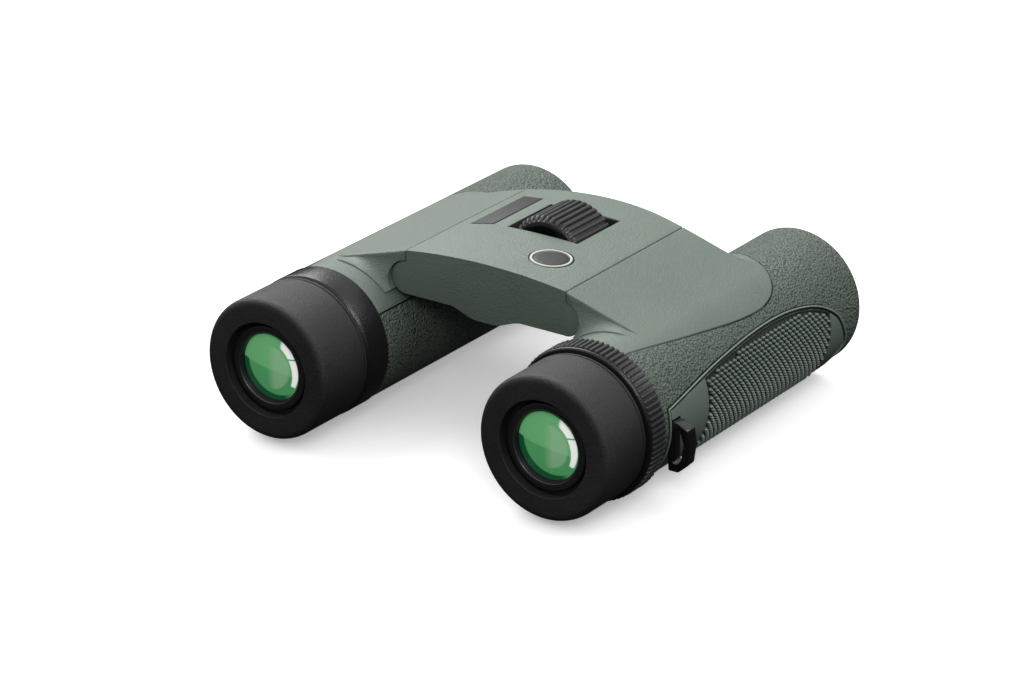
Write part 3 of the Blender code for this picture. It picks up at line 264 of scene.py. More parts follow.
class Wire:
    # one output socket, with arithmetic that adds Math nodes to its tree
    def __init__(self, paint, socket):
        self.paint = paint
        self.socket = socket

    def math(self, operation, other=0.0, flip=False):
        values = (other, self) if flip else (self, other)
        return self.paint.add("ShaderNodeMath", {"operation": operation}, {0: values[0], 1: values[1]})

    def __add__(self, other):
        return self.math("ADD", other)

    def __radd__(self, other):
        return self.math("ADD", other)

    def __sub__(self, other):
        return self.math("SUBTRACT", other)

    def __rsub__(self, other):
        return self.math("SUBTRACT", other, True)

    def __mul__(self, other):
        return self.math("MULTIPLY", other)

    def __rmul__(self, other):
        return self.math("MULTIPLY", other)

    def __truediv__(self, other):
        return self.math("DIVIDE", other)

    def __rtruediv__(self, other):
        return self.math("DIVIDE", other, True)

    def __pow__(self, other):
        return self.math("POWER", other)

    def __neg__(self):
        return self.math("MULTIPLY", -1.0)


class Paint:
    # a material and the few ways its tree is added to
    def __init__(self, name):
        self.material = bpy.data.materials.new(name)
        self.material.use_nodes = True
        self.tree = self.material.node_tree
        self.shader = self.tree.nodes["Principled BSDF"]
        self.place = self.add("ShaderNodeTexCoord", {}, {}, "Object")

    def add(self, kind, settings, inputs, output=0):
        node = self.tree.nodes.new(kind)
        for key, value in settings.items():
            setattr(node, key, value)
        for key, value in inputs.items():
            self.join(node.inputs[key], value)
        return Wire(self, node.outputs[output])

    def join(self, socket, value):
        if isinstance(value, Wire):
            self.tree.links.new(value.socket, socket)
        else:
            socket.default_value = value

    def noise(self, scale, detail=3.0, roughness=0.55):
        return self.add("ShaderNodeTexNoise", {},
                        {"Vector": self.place, "Scale": scale, "Detail": detail, "Roughness": roughness})

    def cells(self, scale, feature="F1"):
        return self.add("ShaderNodeTexVoronoi", {"feature": feature},
                        {"Vector": self.place, "Scale": scale}, "Distance")

    def ramp(self, value, low, high, atLow=0.0, atHigh=1.0):
        return self.add("ShaderNodeMapRange", {"clamp": True},
                        {"Value": value, "From Min": low, "From Max": high, "To Min": atLow,
                         "To Max": atHigh})

    def mix(self, factor, first, second):
        return self.add("ShaderNodeMix", {"data_type": "RGBA"}, {0: factor, 6: first, 7: second}, 2)

    def set(self, name, value):
        self.join(self.shader.inputs[name], value)

    def bump(self, height, distance, strength=1.0):
        self.set("Normal", self.add("ShaderNodeBump", {},
                                    {"Height": height, "Distance": distance, "Strength": strength}))


def colour(red, green, blue):
    return (red, green, blue, 1.0)


def grained(name, look):
    # moulded plastic or rubber: mottled colour, fine grain, and patches rubbed smoother
    paint = Paint(name)
    broad = paint.noise(look["broad"], 2.0)
    fine = paint.noise(look["fine"], 3.0, 0.65)
    tone = paint.ramp(broad * 0.6 + fine * 0.4, 0.32, 0.68)
    paint.set("Base Color", paint.mix(tone, colour(*look["dark"]), colour(*look["light"])))
    paint.set("Roughness", paint.ramp(broad + fine, 0.7, 1.3, look["rough"] - look["rub"],
                                      look["rough"] + look["rub"]))
    height = fine
    if look.get("pebble"):
        cells = paint.cells(look["pebble"], "SMOOTH_F1")
        small = paint.noise(look["pebble"] * 0.9, 2.0, 0.6)
        height = 1.0 - cells * 0.8 + small * 0.7 + fine * 0.1
        # the hollows of the grain are painted darker: painted shade
        shade = paint.ramp(cells * 0.8 - small * 0.7, -0.02, 0.32)
        swapped = paint.mix(tone, colour(*look["light"]), colour(*look["dark"]))
        paint.set("Base Color", paint.mix(shade, swapped, colour(*look["pitShade"])))
    if look.get("shade"):
        # between the teeth, close to the barrel, little light gets in
        x, z = (paint.add("ShaderNodeSeparateXYZ", {}, {0: paint.place}, i) for i in (0, 2))
        x = x.math("ABSOLUTE") * 1000.0 - shared["axisX"]
        z = z * 1000.0 - shared["axisHeight"]
        sunk = paint.ramp((x * x + z * z) ** 0.5, look["shadeFrom"], look["shadeTo"], 1.0, 0.0)
        plain = paint.mix(tone, colour(*look["dark"]), colour(*look["light"]))
        paint.set("Base Color", paint.mix(sunk, plain, colour(*look["shade"])))
    paint.bump(height, look["depth"], look.get("strength", 0.8))
    paint.set("Metallic", look.get("metallic", 0.0))
    paint.set("Coat Weight", look.get("coat", 0.0))
    paint.set("Coat Roughness", look.get("coatRough", 0.2))
    paint.set("Specular IOR Level", look.get("specular", 0.5))
    return paint.material


def brushed(name, look):
    # turned metal: fine rings along the axis, smudged sheen
    paint = Paint(name)
    parts = paint.add("ShaderNodeSeparateXYZ", {}, {0: paint.place}, 1)
    rings = paint.add("ShaderNodeTexNoise", {"noise_dimensions": "1D"},
                      {"W": parts * look["rings"], "Scale": 1.0, "Detail": 3.0})
    smudge = paint.noise(look["smudge"], 3.0)
    tone = rings * 0.5 + smudge * 0.5
    paint.set("Base Color", paint.mix(tone, colour(*look["dark"]), colour(*look["light"])))
    paint.set("Roughness", paint.ramp(smudge, 0.3, 0.7, look["rough"] - 0.08, look["rough"] + 0.1))
    paint.set("Metallic", look.get("metallic", 1.0))
    paint.bump(rings, 0.00002, 0.5)
    return paint.material


finishes = {
    "softTouch": {
        "dark": (0.118, 0.152, 0.126), "light": (0.142, 0.180, 0.150), "rough": 0.45, "rub": 0.04,
        "broad": 45.0, "fine": 2000.0, "depth": 0.00022, "strength": 0.9,
    },
    # armour rubber; the colour of its hollows is painted shade
    "armourSkin": {
        "dark": (0.105, 0.136, 0.112), "light": (0.128, 0.163, 0.135), "pitShade": (0.040, 0.054, 0.044),
        "rough": 0.46, "rub": 0.05, "broad": 45.0, "fine": 4200.0, "pebble": 2000.0, "depth": 0.00095,
        "strength": 1.0,
    },
    "gripRubber": {
        "dark": (0.190, 0.240, 0.202), "light": (0.235, 0.293, 0.248), "rough": 0.45, "rub": 0.04,
        "broad": 50.0, "fine": 3000.0, "depth": 0.00003, "strength": 0.6,
        "shade": (0.012, 0.017, 0.014), "shadeFrom": 16.66, "shadeTo": 17.12,
    },
    "cupRubber": {
        "dark": (0.013, 0.013, 0.014), "light": (0.023, 0.023, 0.024), "rough": 0.46, "rub": 0.06,
        "broad": 60.0, "fine": 3200.0, "depth": 0.00026, "strength": 1.0,
    },
    "wheelRubber": {
        "dark": (0.026, 0.027, 0.027), "light": (0.038, 0.039, 0.040), "rough": 0.30, "rub": 0.05,
        "broad": 90.0, "fine": 3200.0, "depth": 0.00004, "strength": 0.7,
    },
    # satin black for the collar; also the cores of the ribbed rings, as painted shade between the ribs
    "satinBlackAndGapShade": {
        "dark": (0.007, 0.007, 0.008), "light": (0.012, 0.012, 0.013), "rough": 0.26, "rub": 0.05,
        "broad": 60.0, "fine": 2400.0, "depth": 0.00008, "strength": 0.7,
    },
    "glossBlack": {
        "dark": (0.004, 0.004, 0.004), "light": (0.008, 0.008, 0.008), "rough": 0.20, "rub": 0.05,
        "broad": 90.0, "fine": 1800.0, "depth": 0.00001, "strength": 0.4, "coat": 0.6,
        "coatRough": 0.06,
    },
    # moulded black plastic; also the inside of the bridge housing, as painted shade
    "mouldedBlackAndShade": {
        "dark": (0.016, 0.016, 0.017), "light": (0.030, 0.030, 0.031), "rough": 0.42, "rub": 0.08,
        "broad": 80.0, "fine": 2600.0, "depth": 0.00003,
    },
    "plateGrey": {
        "dark": (0.026, 0.027, 0.026), "light": (0.040, 0.042, 0.040), "rough": 0.50, "rub": 0.06,
        "broad": 90.0, "fine": 2600.0, "depth": 0.00006, "strength": 0.7, "specular": 0.3,
    },
    "paleRing": {
        "dark": (0.46, 0.47, 0.45), "light": (0.60, 0.61, 0.59), "rough": 0.36, "rub": 0.06,
        "broad": 90.0, "fine": 2400.0, "depth": 0.00001, "strength": 0.5,
    },
}
looks = {name: grained(name, look) for name, look in finishes.items()}
metals = {
    "blackMetal": {
        "dark": (0.010, 0.010, 0.011), "light": (0.022, 0.022, 0.024), "rough": 0.38, "rings": 9000.0,
        "smudge": 120.0, "metallic": 0.15,
    },
    # a lighter, more metallic copy of the ocular cell's black metal: a painted highlight on its retaining
    # lip
    "lipHighlightMetal": {
        "dark": (0.09, 0.09, 0.09), "light": (0.18, 0.18, 0.18), "rough": 0.24, "rings": 9000.0,
        "smudge": 150.0, "metallic": 0.8,
    },
    "steel": {
        "dark": (0.38, 0.38, 0.39), "light": (0.62, 0.62, 0.63), "rough": 0.28, "rings": 7000.0,
        "smudge": 200.0,
    },
    "brass": {
        "dark": (0.48, 0.34, 0.13), "light": (0.72, 0.55, 0.25), "rough": 0.3, "rings": 7000.0,
        "smudge": 150.0,
    },
    "aluminium": {
        "dark": (0.30, 0.30, 0.31), "light": (0.46, 0.46, 0.48), "rough": 0.4, "rings": 6000.0,
        "smudge": 130.0,
    },
}
looks.update({name: brushed(name, look) for name, look in metals.items()})


def eyeGlass(name, side):
    # green coating with painted reflections: lighter above, a dark patch low on one side, a pale sheet on
    # one side near the rim, and the painted highlight of a window's arc along the rim, which also emits
    # light
    paint = Paint(name)
    x, z = (paint.add("ShaderNodeSeparateXYZ", {}, {0: paint.place}, i) for i in (0, 2))
    x = (x * 1000.0 - side * shared["axisX"]) / lens["aperture"]
    z = (z * 1000.0 - shared["axisHeight"]) / lens["aperture"]
    haze = paint.noise(lens["haze"], 2.0)
    # lighter above than below: painted reflection
    level = paint.ramp(z + x * 0.12 + haze * 0.05, *lens["split"])
    green = paint.mix(level, colour(*lens["lower"]), colour(*lens["upper"]))
    # a dark patch low on one side: painted dark reflection
    awayX, awayZ = x - lens["wedgeX"], z - lens["wedgeZ"]
    darkReflection = paint.ramp((awayX * awayX + awayZ * awayZ) ** 0.5, lens["wedgeRadius"],
                       lens["wedgeRadius"] + lens["wedgeSoft"])
    darkReflection = darkReflection * paint.ramp(z + x * 0.2, *lens["wedgeTop"], 1.0, 0.0)
    darkReflection = darkReflection * paint.ramp(x + haze * 0.1, *lens["wedgeSide"], 1.0, 0.0)
    green = paint.mix(darkReflection, green, colour(*lens["darkReflection"]))
    # a pale sheet on one side near the rim: painted reflection
    reach = (x * x + z * z) ** 0.5
    paleReflection = paint.ramp(reach * -1.0 + haze * 0.1, *lens["veilReach"]) * paint.ramp(x, *lens["veilSide"])
    green = paint.mix(paleReflection * lens["veilShare"], green, colour(*lens["paleReflection"]))
    # the pale arc of a window: painted highlight
    offX = x - lens["arcX"]
    offZ = z - lens["arcZ"]
    outside = paint.ramp((offX * offX + offZ * offZ) ** 0.5, lens["arcRadius"],
                         lens["arcRadius"] + lens["arcSoft"])
    inside = paint.ramp(reach, *lens["arcRim"], 1.0, 0.0)
    bar = paint.ramp((z - x * 0.1 - lens["barRise"]).math("ABSOLUTE"), *lens["barHalf"])
    band = paint.ramp(z * 1.0 + x * 0.35, *lens["arcLow"]) * paint.ramp(x - z * 0.12, *lens["arcSide"])
    arc = outside * inside * bar * band
    green = paint.mix(arc, green, colour(*lens["arc"]))
    paint.set("Base Color", green)
    paint.set("Roughness", paint.ramp(haze, 0.3, 0.7, 0.03, 0.08))
    paint.set("IOR", 1.52)
    paint.set("Coat Weight", 0.3)
    paint.set("Coat Roughness", 0.02)
    # the lens emits its painted green and highlight, though it is no lamp: painted light
    paint.set("Emission Color", paint.mix(arc, green, colour(*lens["arc"])))
    paint.set("Emission Strength", lens["highlightGlow"])
    return paint.material


def plainGlass(name, look):
    paint = Paint(name)
    haze = paint.noise(220.0, 3.0)
    # paler towards the edges the glass turns away from view: painted sheen of reflection
    rim = paint.add("ShaderNodeLayerWeight", {}, {"Blend": 0.35}, "Facing")
    paint.set("Base Color", paint.mix(rim * 0.7 + haze * 0.3, colour(*look["middle"]),
                                      colour(*look["edge"])))
    paint.set("Roughness", paint.ramp(haze, 0.3, 0.7, 0.02, 0.07))
    paint.set("IOR", 1.52)
    paint.set("Coat Weight", 0.5)
    paint.set("Coat Roughness", 0.02)
    return paint.material


# the lens colours are painted reflections and a painted highlight
lens = {
    "aperture": 7.94, "upper": (0.125, 0.385, 0.160), "lower": (0.070, 0.285, 0.105),
    "darkReflection": (0.006, 0.075, 0.026), "paleReflection": (0.30, 0.46, 0.30), "arc": (0.90, 0.92, 0.88),
    "arcX": -0.16, "arcZ": -0.10, "arcRadius": 0.88, "highlightGlow": 0.46, "wedgeX": 0.16, "wedgeZ": 0.16,
    "wedgeRadius": 0.96, "wedgeSoft": 0.04, "wedgeTop": (-0.10, -0.06), "wedgeSide": (0.45, 0.7),
    "haze": 260.0, "split": (-0.06, 0.0), "veilReach": (-0.62, -0.56), "veilSide": (-0.12, 0.16),
    "veilShare": 0.5, "arcSoft": 0.03, "arcRim": (0.90, 0.94), "arcLow": (-0.22, -0.16),
    "arcSide": (0.22, 0.32), "barRise": 0.30, "barHalf": (0.015, 0.035),
}
# each edge colour is a painted sheen where the glass turns away from view
glasses = {
    "objectiveGlass": {"middle": (0.012, 0.030, 0.020), "edge": (0.05, 0.14, 0.08)},
    "prismGlass": {"middle": (0.42, 0.50, 0.50), "edge": (0.62, 0.70, 0.70)},
}
looks.update({name: plainGlass(name, look) for name, look in glasses.items()})
print("stage: materials")


class Growth:
    # a tree that repeats a mesh, with a socket for each thing that differs between uses
    def __init__(self, name, sockets):
        self.tree = bpy.data.node_groups.new(name, "GeometryNodeTree")
        for inOut in ("INPUT", "OUTPUT"):
            self.tree.interface.new_socket("Geometry", in_out=inOut, socket_type="NodeSocketGeometry")
        for label, kind in sockets.items():
            self.tree.interface.new_socket(label, in_out="INPUT", socket_type="NodeSocket" + kind)
        self.given = self.tree.nodes.new("NodeGroupInput").outputs
        self.end = self.tree.nodes.new("NodeGroupOutput")

    def add(self, kind, inputs, **settings):
        # a new node, joined up, as its first output
        node = self.tree.nodes.new(kind)
        for key, value in settings.items():
            setattr(node, key, value)
        for key, value in inputs.items():
            if isinstance(value, bpy.types.NodeSocket):
                self.tree.links.new(value, node.inputs[key])
            else:
                node.inputs[key].default_value = value
        return node.outputs[0]

    def close(self, copies):
        realised = self.add("GeometryNodeRealizeInstances", {0: copies})
        painted = self.add("GeometryNodeSetMaterial",
                           {"Geometry": realised, "Material": self.given["Finish"]})
        self.tree.links.new(painted, self.end.inputs[0])
        return self.tree


def spinTree():
    # copies of the object's own mesh, turned evenly about a line along Y
    made = Growth("spinCopies", {"Count": "Int", "Centre": "Vector", "Finish": "Material"})
    given = made.given
    line = made.add("GeometryNodeMeshLine", {"Count": given["Count"], "Start Location": given["Centre"],
                                             "Offset": (0, 0, 0)})
    index = made.add("GeometryNodeInputIndex", {})
    share = made.add("ShaderNodeMath", {0: index, 1: given["Count"]}, operation="DIVIDE")
    angle = made.add("ShaderNodeMath", {0: share, 1: 2 * math.pi}, operation="MULTIPLY")
    turn = made.add("ShaderNodeCombineXYZ", {"Y": angle})
    return made.close(made.add("GeometryNodeInstanceOnPoints", {
        "Points": line, "Instance": given["Geometry"], "Rotation": turn}))


def toothTree():
    # a blunt four-sided tooth on every point, standing away from a line along Y
    made = Growth("knurlTeeth", {"Centre": "Vector", "Reach": "Float", "Tip": "Float", "Height": "Float",
                                 "Finish": "Material"})
    given = made.given
    tooth = made.add("GeometryNodeMeshCone", {
        "Vertices": 4, "Radius Top": given["Tip"], "Radius Bottom": given["Reach"],
        "Depth": given["Height"]}, fill_type="NGON")
    place = made.add("GeometryNodeInputPosition", {})
    offset = made.add("ShaderNodeVectorMath", {0: place, 1: given["Centre"]}, operation="SUBTRACT")
    outward = made.add("ShaderNodeVectorMath", {0: offset, 1: (1, 0, 1)}, operation="MULTIPLY")
    facing = made.add("FunctionNodeAlignRotationToVector", {"Vector": outward}, axis="Z")
    return made.close(made.add("GeometryNodeInstanceOnPoints", {
        "Points": given["Geometry"], "Instance": tooth, "Rotation": facing}))


def cornerTree():
    # the object's own mesh repeated at the corners of a rectangle
    made = Growth("cornerCopies", {"Width": "Float", "Depth": "Float", "Centre": "Vector",
                                   "Finish": "Material"})
    given = made.given
    corners = made.add("GeometryNodeMeshGrid", {"Size X": given["Width"], "Size Y": given["Depth"],
                                                "Vertices X": 2, "Vertices Y": 2})
    moved = made.add("GeometryNodeSetPosition", {"Geometry": corners, "Offset": given["Centre"]})
    return made.close(made.add("GeometryNodeInstanceOnPoints", {
        "Points": moved, "Instance": given["Geometry"]}))


def grow(obj, tree, values, sharp=30):
    modifier = obj.modifiers.new(tree.name, "NODES")
    modifier.node_group = tree
    for item in tree.interface.items_tree:
        if item.in_out == "INPUT" and item.name in values:
            modifier[item.identifier] = values[item.name]
    return settle(obj, sharp)


spinCopies = spinTree()
knurlTeeth = toothTree()
cornerCopies = cornerTree()


def rib(name, size):
    # one bar along Y, its foot sunk in the ring under it and its ends and top edges eased
    half, ease, run, fall = size["width"] / 2, size["ease"], size["run"], size["fall"]
    sections = []
    for distance, drop in ((size["start"], fall), (size["start"] + run * 0.4, fall * 0.45),
                           (size["start"] + run, 0.0),
                           (size["end"] - run, 0.0), (size["end"] - run * 0.4, fall * 0.45),
                           (size["end"], fall)):
        top = size["top"] - drop
        flat = half - ease
        section = [(-half, size["foot"]), (half, size["foot"]), (half, top - ease),
                   (half - ease * 0.3, top - ease * 0.3),
                   (flat, top), (-flat, top), (ease * 0.3 - half, top - ease * 0.3), (-half, top - ease)]
        sections.append([(x, yAt(distance), z) for x, z in section])
    return loft(name, sections, 30)


# bridge housing
bridge = {
    "edge": 21.65, "round": 0.85, "seamRound": 0.35, "bow": 2.7, "bowHalf": 21.0, "belly": 9.4,
    "bellyHalf": 2.2, "bellyBlend": 7.8, "wall": 1.8, "cavityHalf": 16.6, "windowHalf": 9.6,
    "windowMargin": 1.3, "flare": 0.5, "flareRise": 23.1, "shadeLining": 0.3,
    "eyes": ((11.5, 17.8), (30.3, 36.6)), "arm": (19.4, 29.2), "boss": 4.7, "bore": 3.3, "reach": 5.8,
    "post": 2.3, "postX": 12.5, "postInset": 4.8, "postBore": 1.1, "postBoreFrom": 8.0,
    "postBoreDepth": 5.8, "boreDepth": 12, "armLow": 5, "armHigh": 17.4,
}


def underside(x):
    t = min(max((abs(x) - bridge["bellyHalf"]) / bridge["bellyBlend"], 0), 1)
    return bridge["belly"] + (shared["underside"] - bridge["belly"]) * t * t * (3 - 2 * t)


def bridgeFront(x):
    share = min(abs(x) / bridge["bowHalf"], 1)
    return shared["bridgeRear"] + shared["bridgeLength"] + bridge["bow"] * (1 - share ** 2)


def bridgeBlock():
    edge, rear = bridge["edge"], shared["bridgeRear"]
    xs = [-edge] + spread(-edge + 1.3, edge - 1.3, 111) + [edge]
    top = [(x, zAt(topSkin(x))) for x in xs]
    bottom = [(x, zAt(underside(x))) for x in xs]
    arc = [(shared["hingeX"] + shared["knuckle"] * math.cos(math.radians(a)),
            zAt(shared["hingeRise"] + shared["knuckle"] * math.sin(math.radians(a))))
            for a in spread(92, -88, 46)]
    outline = top + arc + bottom[::-1] + [(-x, z) for x, z in reversed(arc)]
    count, n = len(outline), len(xs)
    points = [(x, yAt(rear), z) for x, z in outline] + [(x, yAt(bridgeFront(x)), z) for x, z in outline]
    faces = [(i, (i + 1) % count, count + (i + 1) % count, count + i) for i in range(count)]
    low = n + len(arc)
    for base in (0, count):
        for i in range(n - 1):
            faces.append(tuple(base + v for v in (i, i + 1, low + n - 2 - i, low + n - 1 - i)))
        faces.append(tuple(base + v for v in range(n - 1, low + 1)))
        faces.append(tuple(base + v for v in list(range(low + n - 1, count)) + [0]))
    obj = meshObject("bridgeShell", points, faces)
    shape = bmesh.new()
    shape.from_mesh(obj.data)
    weight = shape.edges.layers.float.new("bevel_weight_edge")
    for e in shape.edges:
        a, b = (v.co * 1000 for v in e.verts)
        atRear = abs(a.y - yAt(rear)) < 0.01 and abs(b.y - yAt(rear)) < 0.01
        atFront = all(abs(p.y - yAt(bridgeFront(p.x))) < 0.01 for p in (a, b))
        along = abs(a.y - b.y) > 5
        rim = len(e.link_faces) == 2 and e.calc_face_angle(0) > 0.9
        if (atRear or atFront) and rim:
            e[weight] = 1.0
        elif along and a.z > zAt(21.9) and abs(abs(a.x) - edge) < 0.05:
            e[weight] = bridge["seamRound"] / bridge["round"]
    shape.to_mesh(obj.data)
    shape.free()
    return bevelled(obj, bridge["round"], 5, weighted=True)


def flaredWindow():
    rear, half = shared["wheelStart"] - bridge["windowMargin"], bridge["windowHalf"]
    front = shared["wheelStart"] + shared["wheelLength"] + bridge["windowMargin"]
    loops = []
    for rise, grown in ((shared["wheelRise"], 0.0), (bridge["flareRise"], 0.0),
                        (bridge["flareRise"] + 1.4, 1.4 * bridge["flare"])):
        loops.append([(x, yAt(d), zAt(rise)) for x, d in
                      ((-half - grown, rear - grown), (half + grown, rear - grown),
                       (half + grown, front + grown), (-half - grown, front + grown))])
    return loft("wheelWindow", loops)


def badgeSpot():
    slope = 2 * shared["crown"] * badge["x"] / shared["hingeX"] ** 2
    place = Matrix.Translation((badge["x"], yAt(badge["distance"]), zAt(topSkin(badge["x"]))))
    return place @ Matrix.Rotation(math.atan(slope), 4, "Y")


def disc(name, profile, steps=96):
    # a turned button at the badge's place; profile is (radius, height)
    spot = badgeSpot()
    loops = []
    for c, s in circle(1, steps):
        loops.append([tuple(spot @ Vector((r * c, r * s, h))) for r, h in profile])
    return loft(name, loops, closed=True)


# the badge's profiles are (radius, height), with a rounding for each corner that is eased
badge = {
    "x": 9.7, "distance": 44.3, "recess": 5.25, "deep": 0.95, "above": 0.7,
    "rim": ((4.8, 0.12, 0.1), (4.8, -0.9, 0), (4.3, -0.9, 0), (4.3, 0.12, 0.1)),
    "band": ((5.06, -0.02, 0.1), (5.06, -0.9, 0), (4.82, -0.9, 0), (4.82, -0.02, 0.05)),
    "face": ((0, 0.1), (1.6, 0.08), (3.0, 0.02), (3.9, -0.06), (4.1, -0.2), (4.28, -0.22), (4.28, -0.9),
             (0, -0.9)),
}
plate = {
    "x": (-18.7, -13.55), "start": 53.6, "end": 74.9, "slant": 1.5, "proud": 0.12, "deep": 0.7,
    "room": 0.2,
}


def plateSolid(name, extra, top, deep):
    xs = spread(plate["x"][0] - extra, plate["x"][1] + extra, 12)
    width = plate["x"][1] - plate["x"][0]
    upper, lower = [], []
    for x in xs:
        share = (x - plate["x"][0]) / width
        start = plate["start"] - extra + plate["slant"] * share
        end = plate["end"] + extra
        upper.append([(x, yAt(d), zAt(topSkin(x) + top)) for d in (start, end)])
        lower.append([(x, yAt(d), zAt(topSkin(x) - deep)) for d in (start, end)])
    return meshObject(name, *grid(upper, lower))


def makeBridge():
    rear, end = shared["bridgeRear"], shared["bridgeRear"] + shared["bridgeLength"]
    axle = (0, zAt(shared["wheelRise"]))
    shell = bridgeBlock()
    half, wall, gap = bridge["cavityHalf"], bridge["wall"], shared["gap"]
    roof = [(x, zAt(topSkin(x) - wall)) for x in spread(-half, half, 41)] + [(half, 5), (-half, 5)]
    room = loft("room", [[(x, yAt(d), z) for x, z in roof] for d in (rear + wall, end - wall)])
    steps = cut(room)
    for name, start, stop in (("rearBoss", rear + wall / 2, rear + bridge["reach"]),
                              ("frontBoss", end - bridge["reach"], end - wall / 2)):
        steps.append(("UNION", rod(name, bridge["boss"], start, stop, axle)))
    ends = (rear + bridge["postInset"], end - bridge["postInset"])
    corners = [(x, yAt(d)) for d in ends for x in (-bridge["postX"], bridge["postX"])]
    for place in corners:
        steps.append(("UNION", post("post", bridge["post"], shared["underside"] + wall,
                                    topSkin(place[0]) - 1.0, place)))
    for place in corners:
        steps += cut(post("postHole", bridge["postBore"], bridge["postBoreFrom"],
                          underside(place[0]) + bridge["postBoreDepth"], place))
    steps += cut(rod("rearBore", bridge["bore"], rear + wall - gap,
                     rear + bridge["boreDepth"], axle))
    steps += cut(rod("frontBore", bridge["bore"], end - bridge["boreDepth"],
                     end - wall + gap, axle))
    steps += cut(flaredWindow())
    for side in words:
        centre = hingeAxis(side)
        for start, stop in bridge["eyes"] + (bridge["arm"],):
            steps += cut(rod("slot", shared["trough"], rear + start - gap,
                             rear + stop + gap, centre))
        xs = sorted((side * (half - 1), side * (shared["hingeX"] + gap)))
        steps += cut(block("armWay", (xs[0], yAt(rear + bridge["arm"][0]),
                                      zAt(bridge["armLow"])),
                           (xs[1], yAt(rear + bridge["arm"][1]),
                            zAt(bridge["armHigh"]))))
        steps += cut(rod("pinBore", shared["pinBore"], rear + 1.5, end - 1.5, centre))
    steps += cut(plateSolid("plateRoom", plate["room"], 0.6, plate["deep"] + 0.2))
    above, recess, deep = badge["above"], badge["recess"], badge["deep"]
    steps += cut(disc("badgeRoom", [(0, above), (recess, above), (recess, -deep),
                                    (0, -deep)]))
    carve(shell, *steps)
    finished(shell, looks["softTouch"], "bridge", "soft_touch", "bridge_housing")
    # the faces inside the housing are made black: painted shade, so the cavity seen through the wheel
    # window reads dark
    shell.data.materials.append(looks["mouldedBlackAndShade"])
    for face in shell.data.polygons:
        x, y, z = face.center * 1000
        within = abs(x) < half + 0.05 and yAt(rear + wall) - 0.05 < y < yAt(end - wall) + 0.05
        if within and z < zAt(topSkin(x)) - bridge["shadeLining"] and z > zAt(underside(x)) + 0.05:
            face.material_index = 1


def makeBadge():
    rim = disc("badgeRim", rounded(badge["rim"]))
    band = disc("badgeBand", rounded(badge["band"]))
    face = disc("badgeFace", badge["face"])
    finished(rim, looks["paleRing"], "bridge", "aluminium", "badge")
    finished(band, looks["glossBlack"], "bridge", "gloss_black", "badge")
    finished(face, looks["plateGrey"], "bridge", "black_plastic", "badge")
    blank = bevelled(plateSolid("blankPlate", 0, plate["proud"], plate["deep"]), 0.18, 3, 50)
    finished(blank, looks["plateGrey"], "bridge", "black_plastic", "name_plate")


makeBridge()
makeBadge()
print("stage: bridge")


# top covers
cover = {
    "leftStart": 24.0, "rightStart": 21.9, "wingRear": 32.0, "edgeRound": 0.5, "cornerRound": 0.22,
    "footStep": 0.32, "wingFront": 80.3, "facet": 2.0, "end": 88.0, "innerEdge": 148.03, "seamX": 21.95,
    "foot": ((74.3, 31.1), (86.7, 29.3), (100.0, 28.9), (125.0, 28.9)),
    "seam": ((24.0, 68.7), (46.2, 53.6), (66.4, 44.6), (75.9, 49.7), (81.3, 66.4), (84.4, 90.4),
             (86.7, 114.0), (88.0, 138.0)),
    "armHalf": 1.6, "armSweep": 3.7, "armMiddle": 24.3, "armFrom": 11, "armTo": 22, "pinFrom": 1,
    "pinTo": 47, "troughRear": 5.0, "troughFront": 4.5, "plainEnd": 28.6, "footStart": 28.7,
    "frontEase": 0.4, "frontDrop": 0.12, "columns": (24, 34, 12, 8, 1, 6),
    "seamEase": ((0, 0.28), (0.005, 0.11), (0.011, 0.03), (0.018, 0.0)),
}
cornerAngle = math.atan2(shared["bridgeTop"], cover["seamX"] - shared["axisX"])
cornerReach = math.hypot(shared["bridgeTop"], cover["seamX"] - shared["axisX"])
tangentAngle = cornerAngle - math.acos(shared["barrelRadius"] / cornerReach)


def coverSeam(distance):
    return math.radians(through(cover["seam"], distance))


def wingFull(angle):
    base = shared["barrelRadius"]
    if not tangentAngle < angle < hingeAngle:
        return base
    top = base / math.cos(angle - tangentAngle)
    side = (shared["axisX"] - cover["seamX"]) / max(-math.cos(angle), 0.05)
    soft = cover["cornerRound"]
    return (top + side - math.sqrt((top - side) ** 2 + soft ** 2)) / 2 + soft / 40


def wingRadius(angle, distance):
    base, full = shared["barrelRadius"], wingFull(angle)
    rise = full - base
    if rise <= 0.001:
        return base
    foot = through(cover["foot"], math.degrees(angle))
    rear, ease = cover["wingRear"], min(cover["edgeRound"], rise)
    if distance < rear:
        t = (distance - foot) / (rear - foot)
        if t <= 0:
            return base
        step = min(cover["footStep"], rise * 0.5)
        return base + step + (rise - ease - step) * (1 - math.sqrt(max(1 - t * t, 0)))
    if distance < rear + ease:
        left = ease - (distance - rear)
        return full - (ease - math.sqrt(max(ease ** 2 - left ** 2, 0)))
    if distance > cover["wingFront"]:
        t = min((distance - cover["wingFront"]) / cover["facet"], 1)
        return full - rise * t
    ease = cover["frontEase"]
    if distance > cover["wingFront"] - ease:
        t = (distance - cover["wingFront"] + ease) / ease
        return full - min(cover["frontDrop"], rise * 0.2) * t * t
    return full


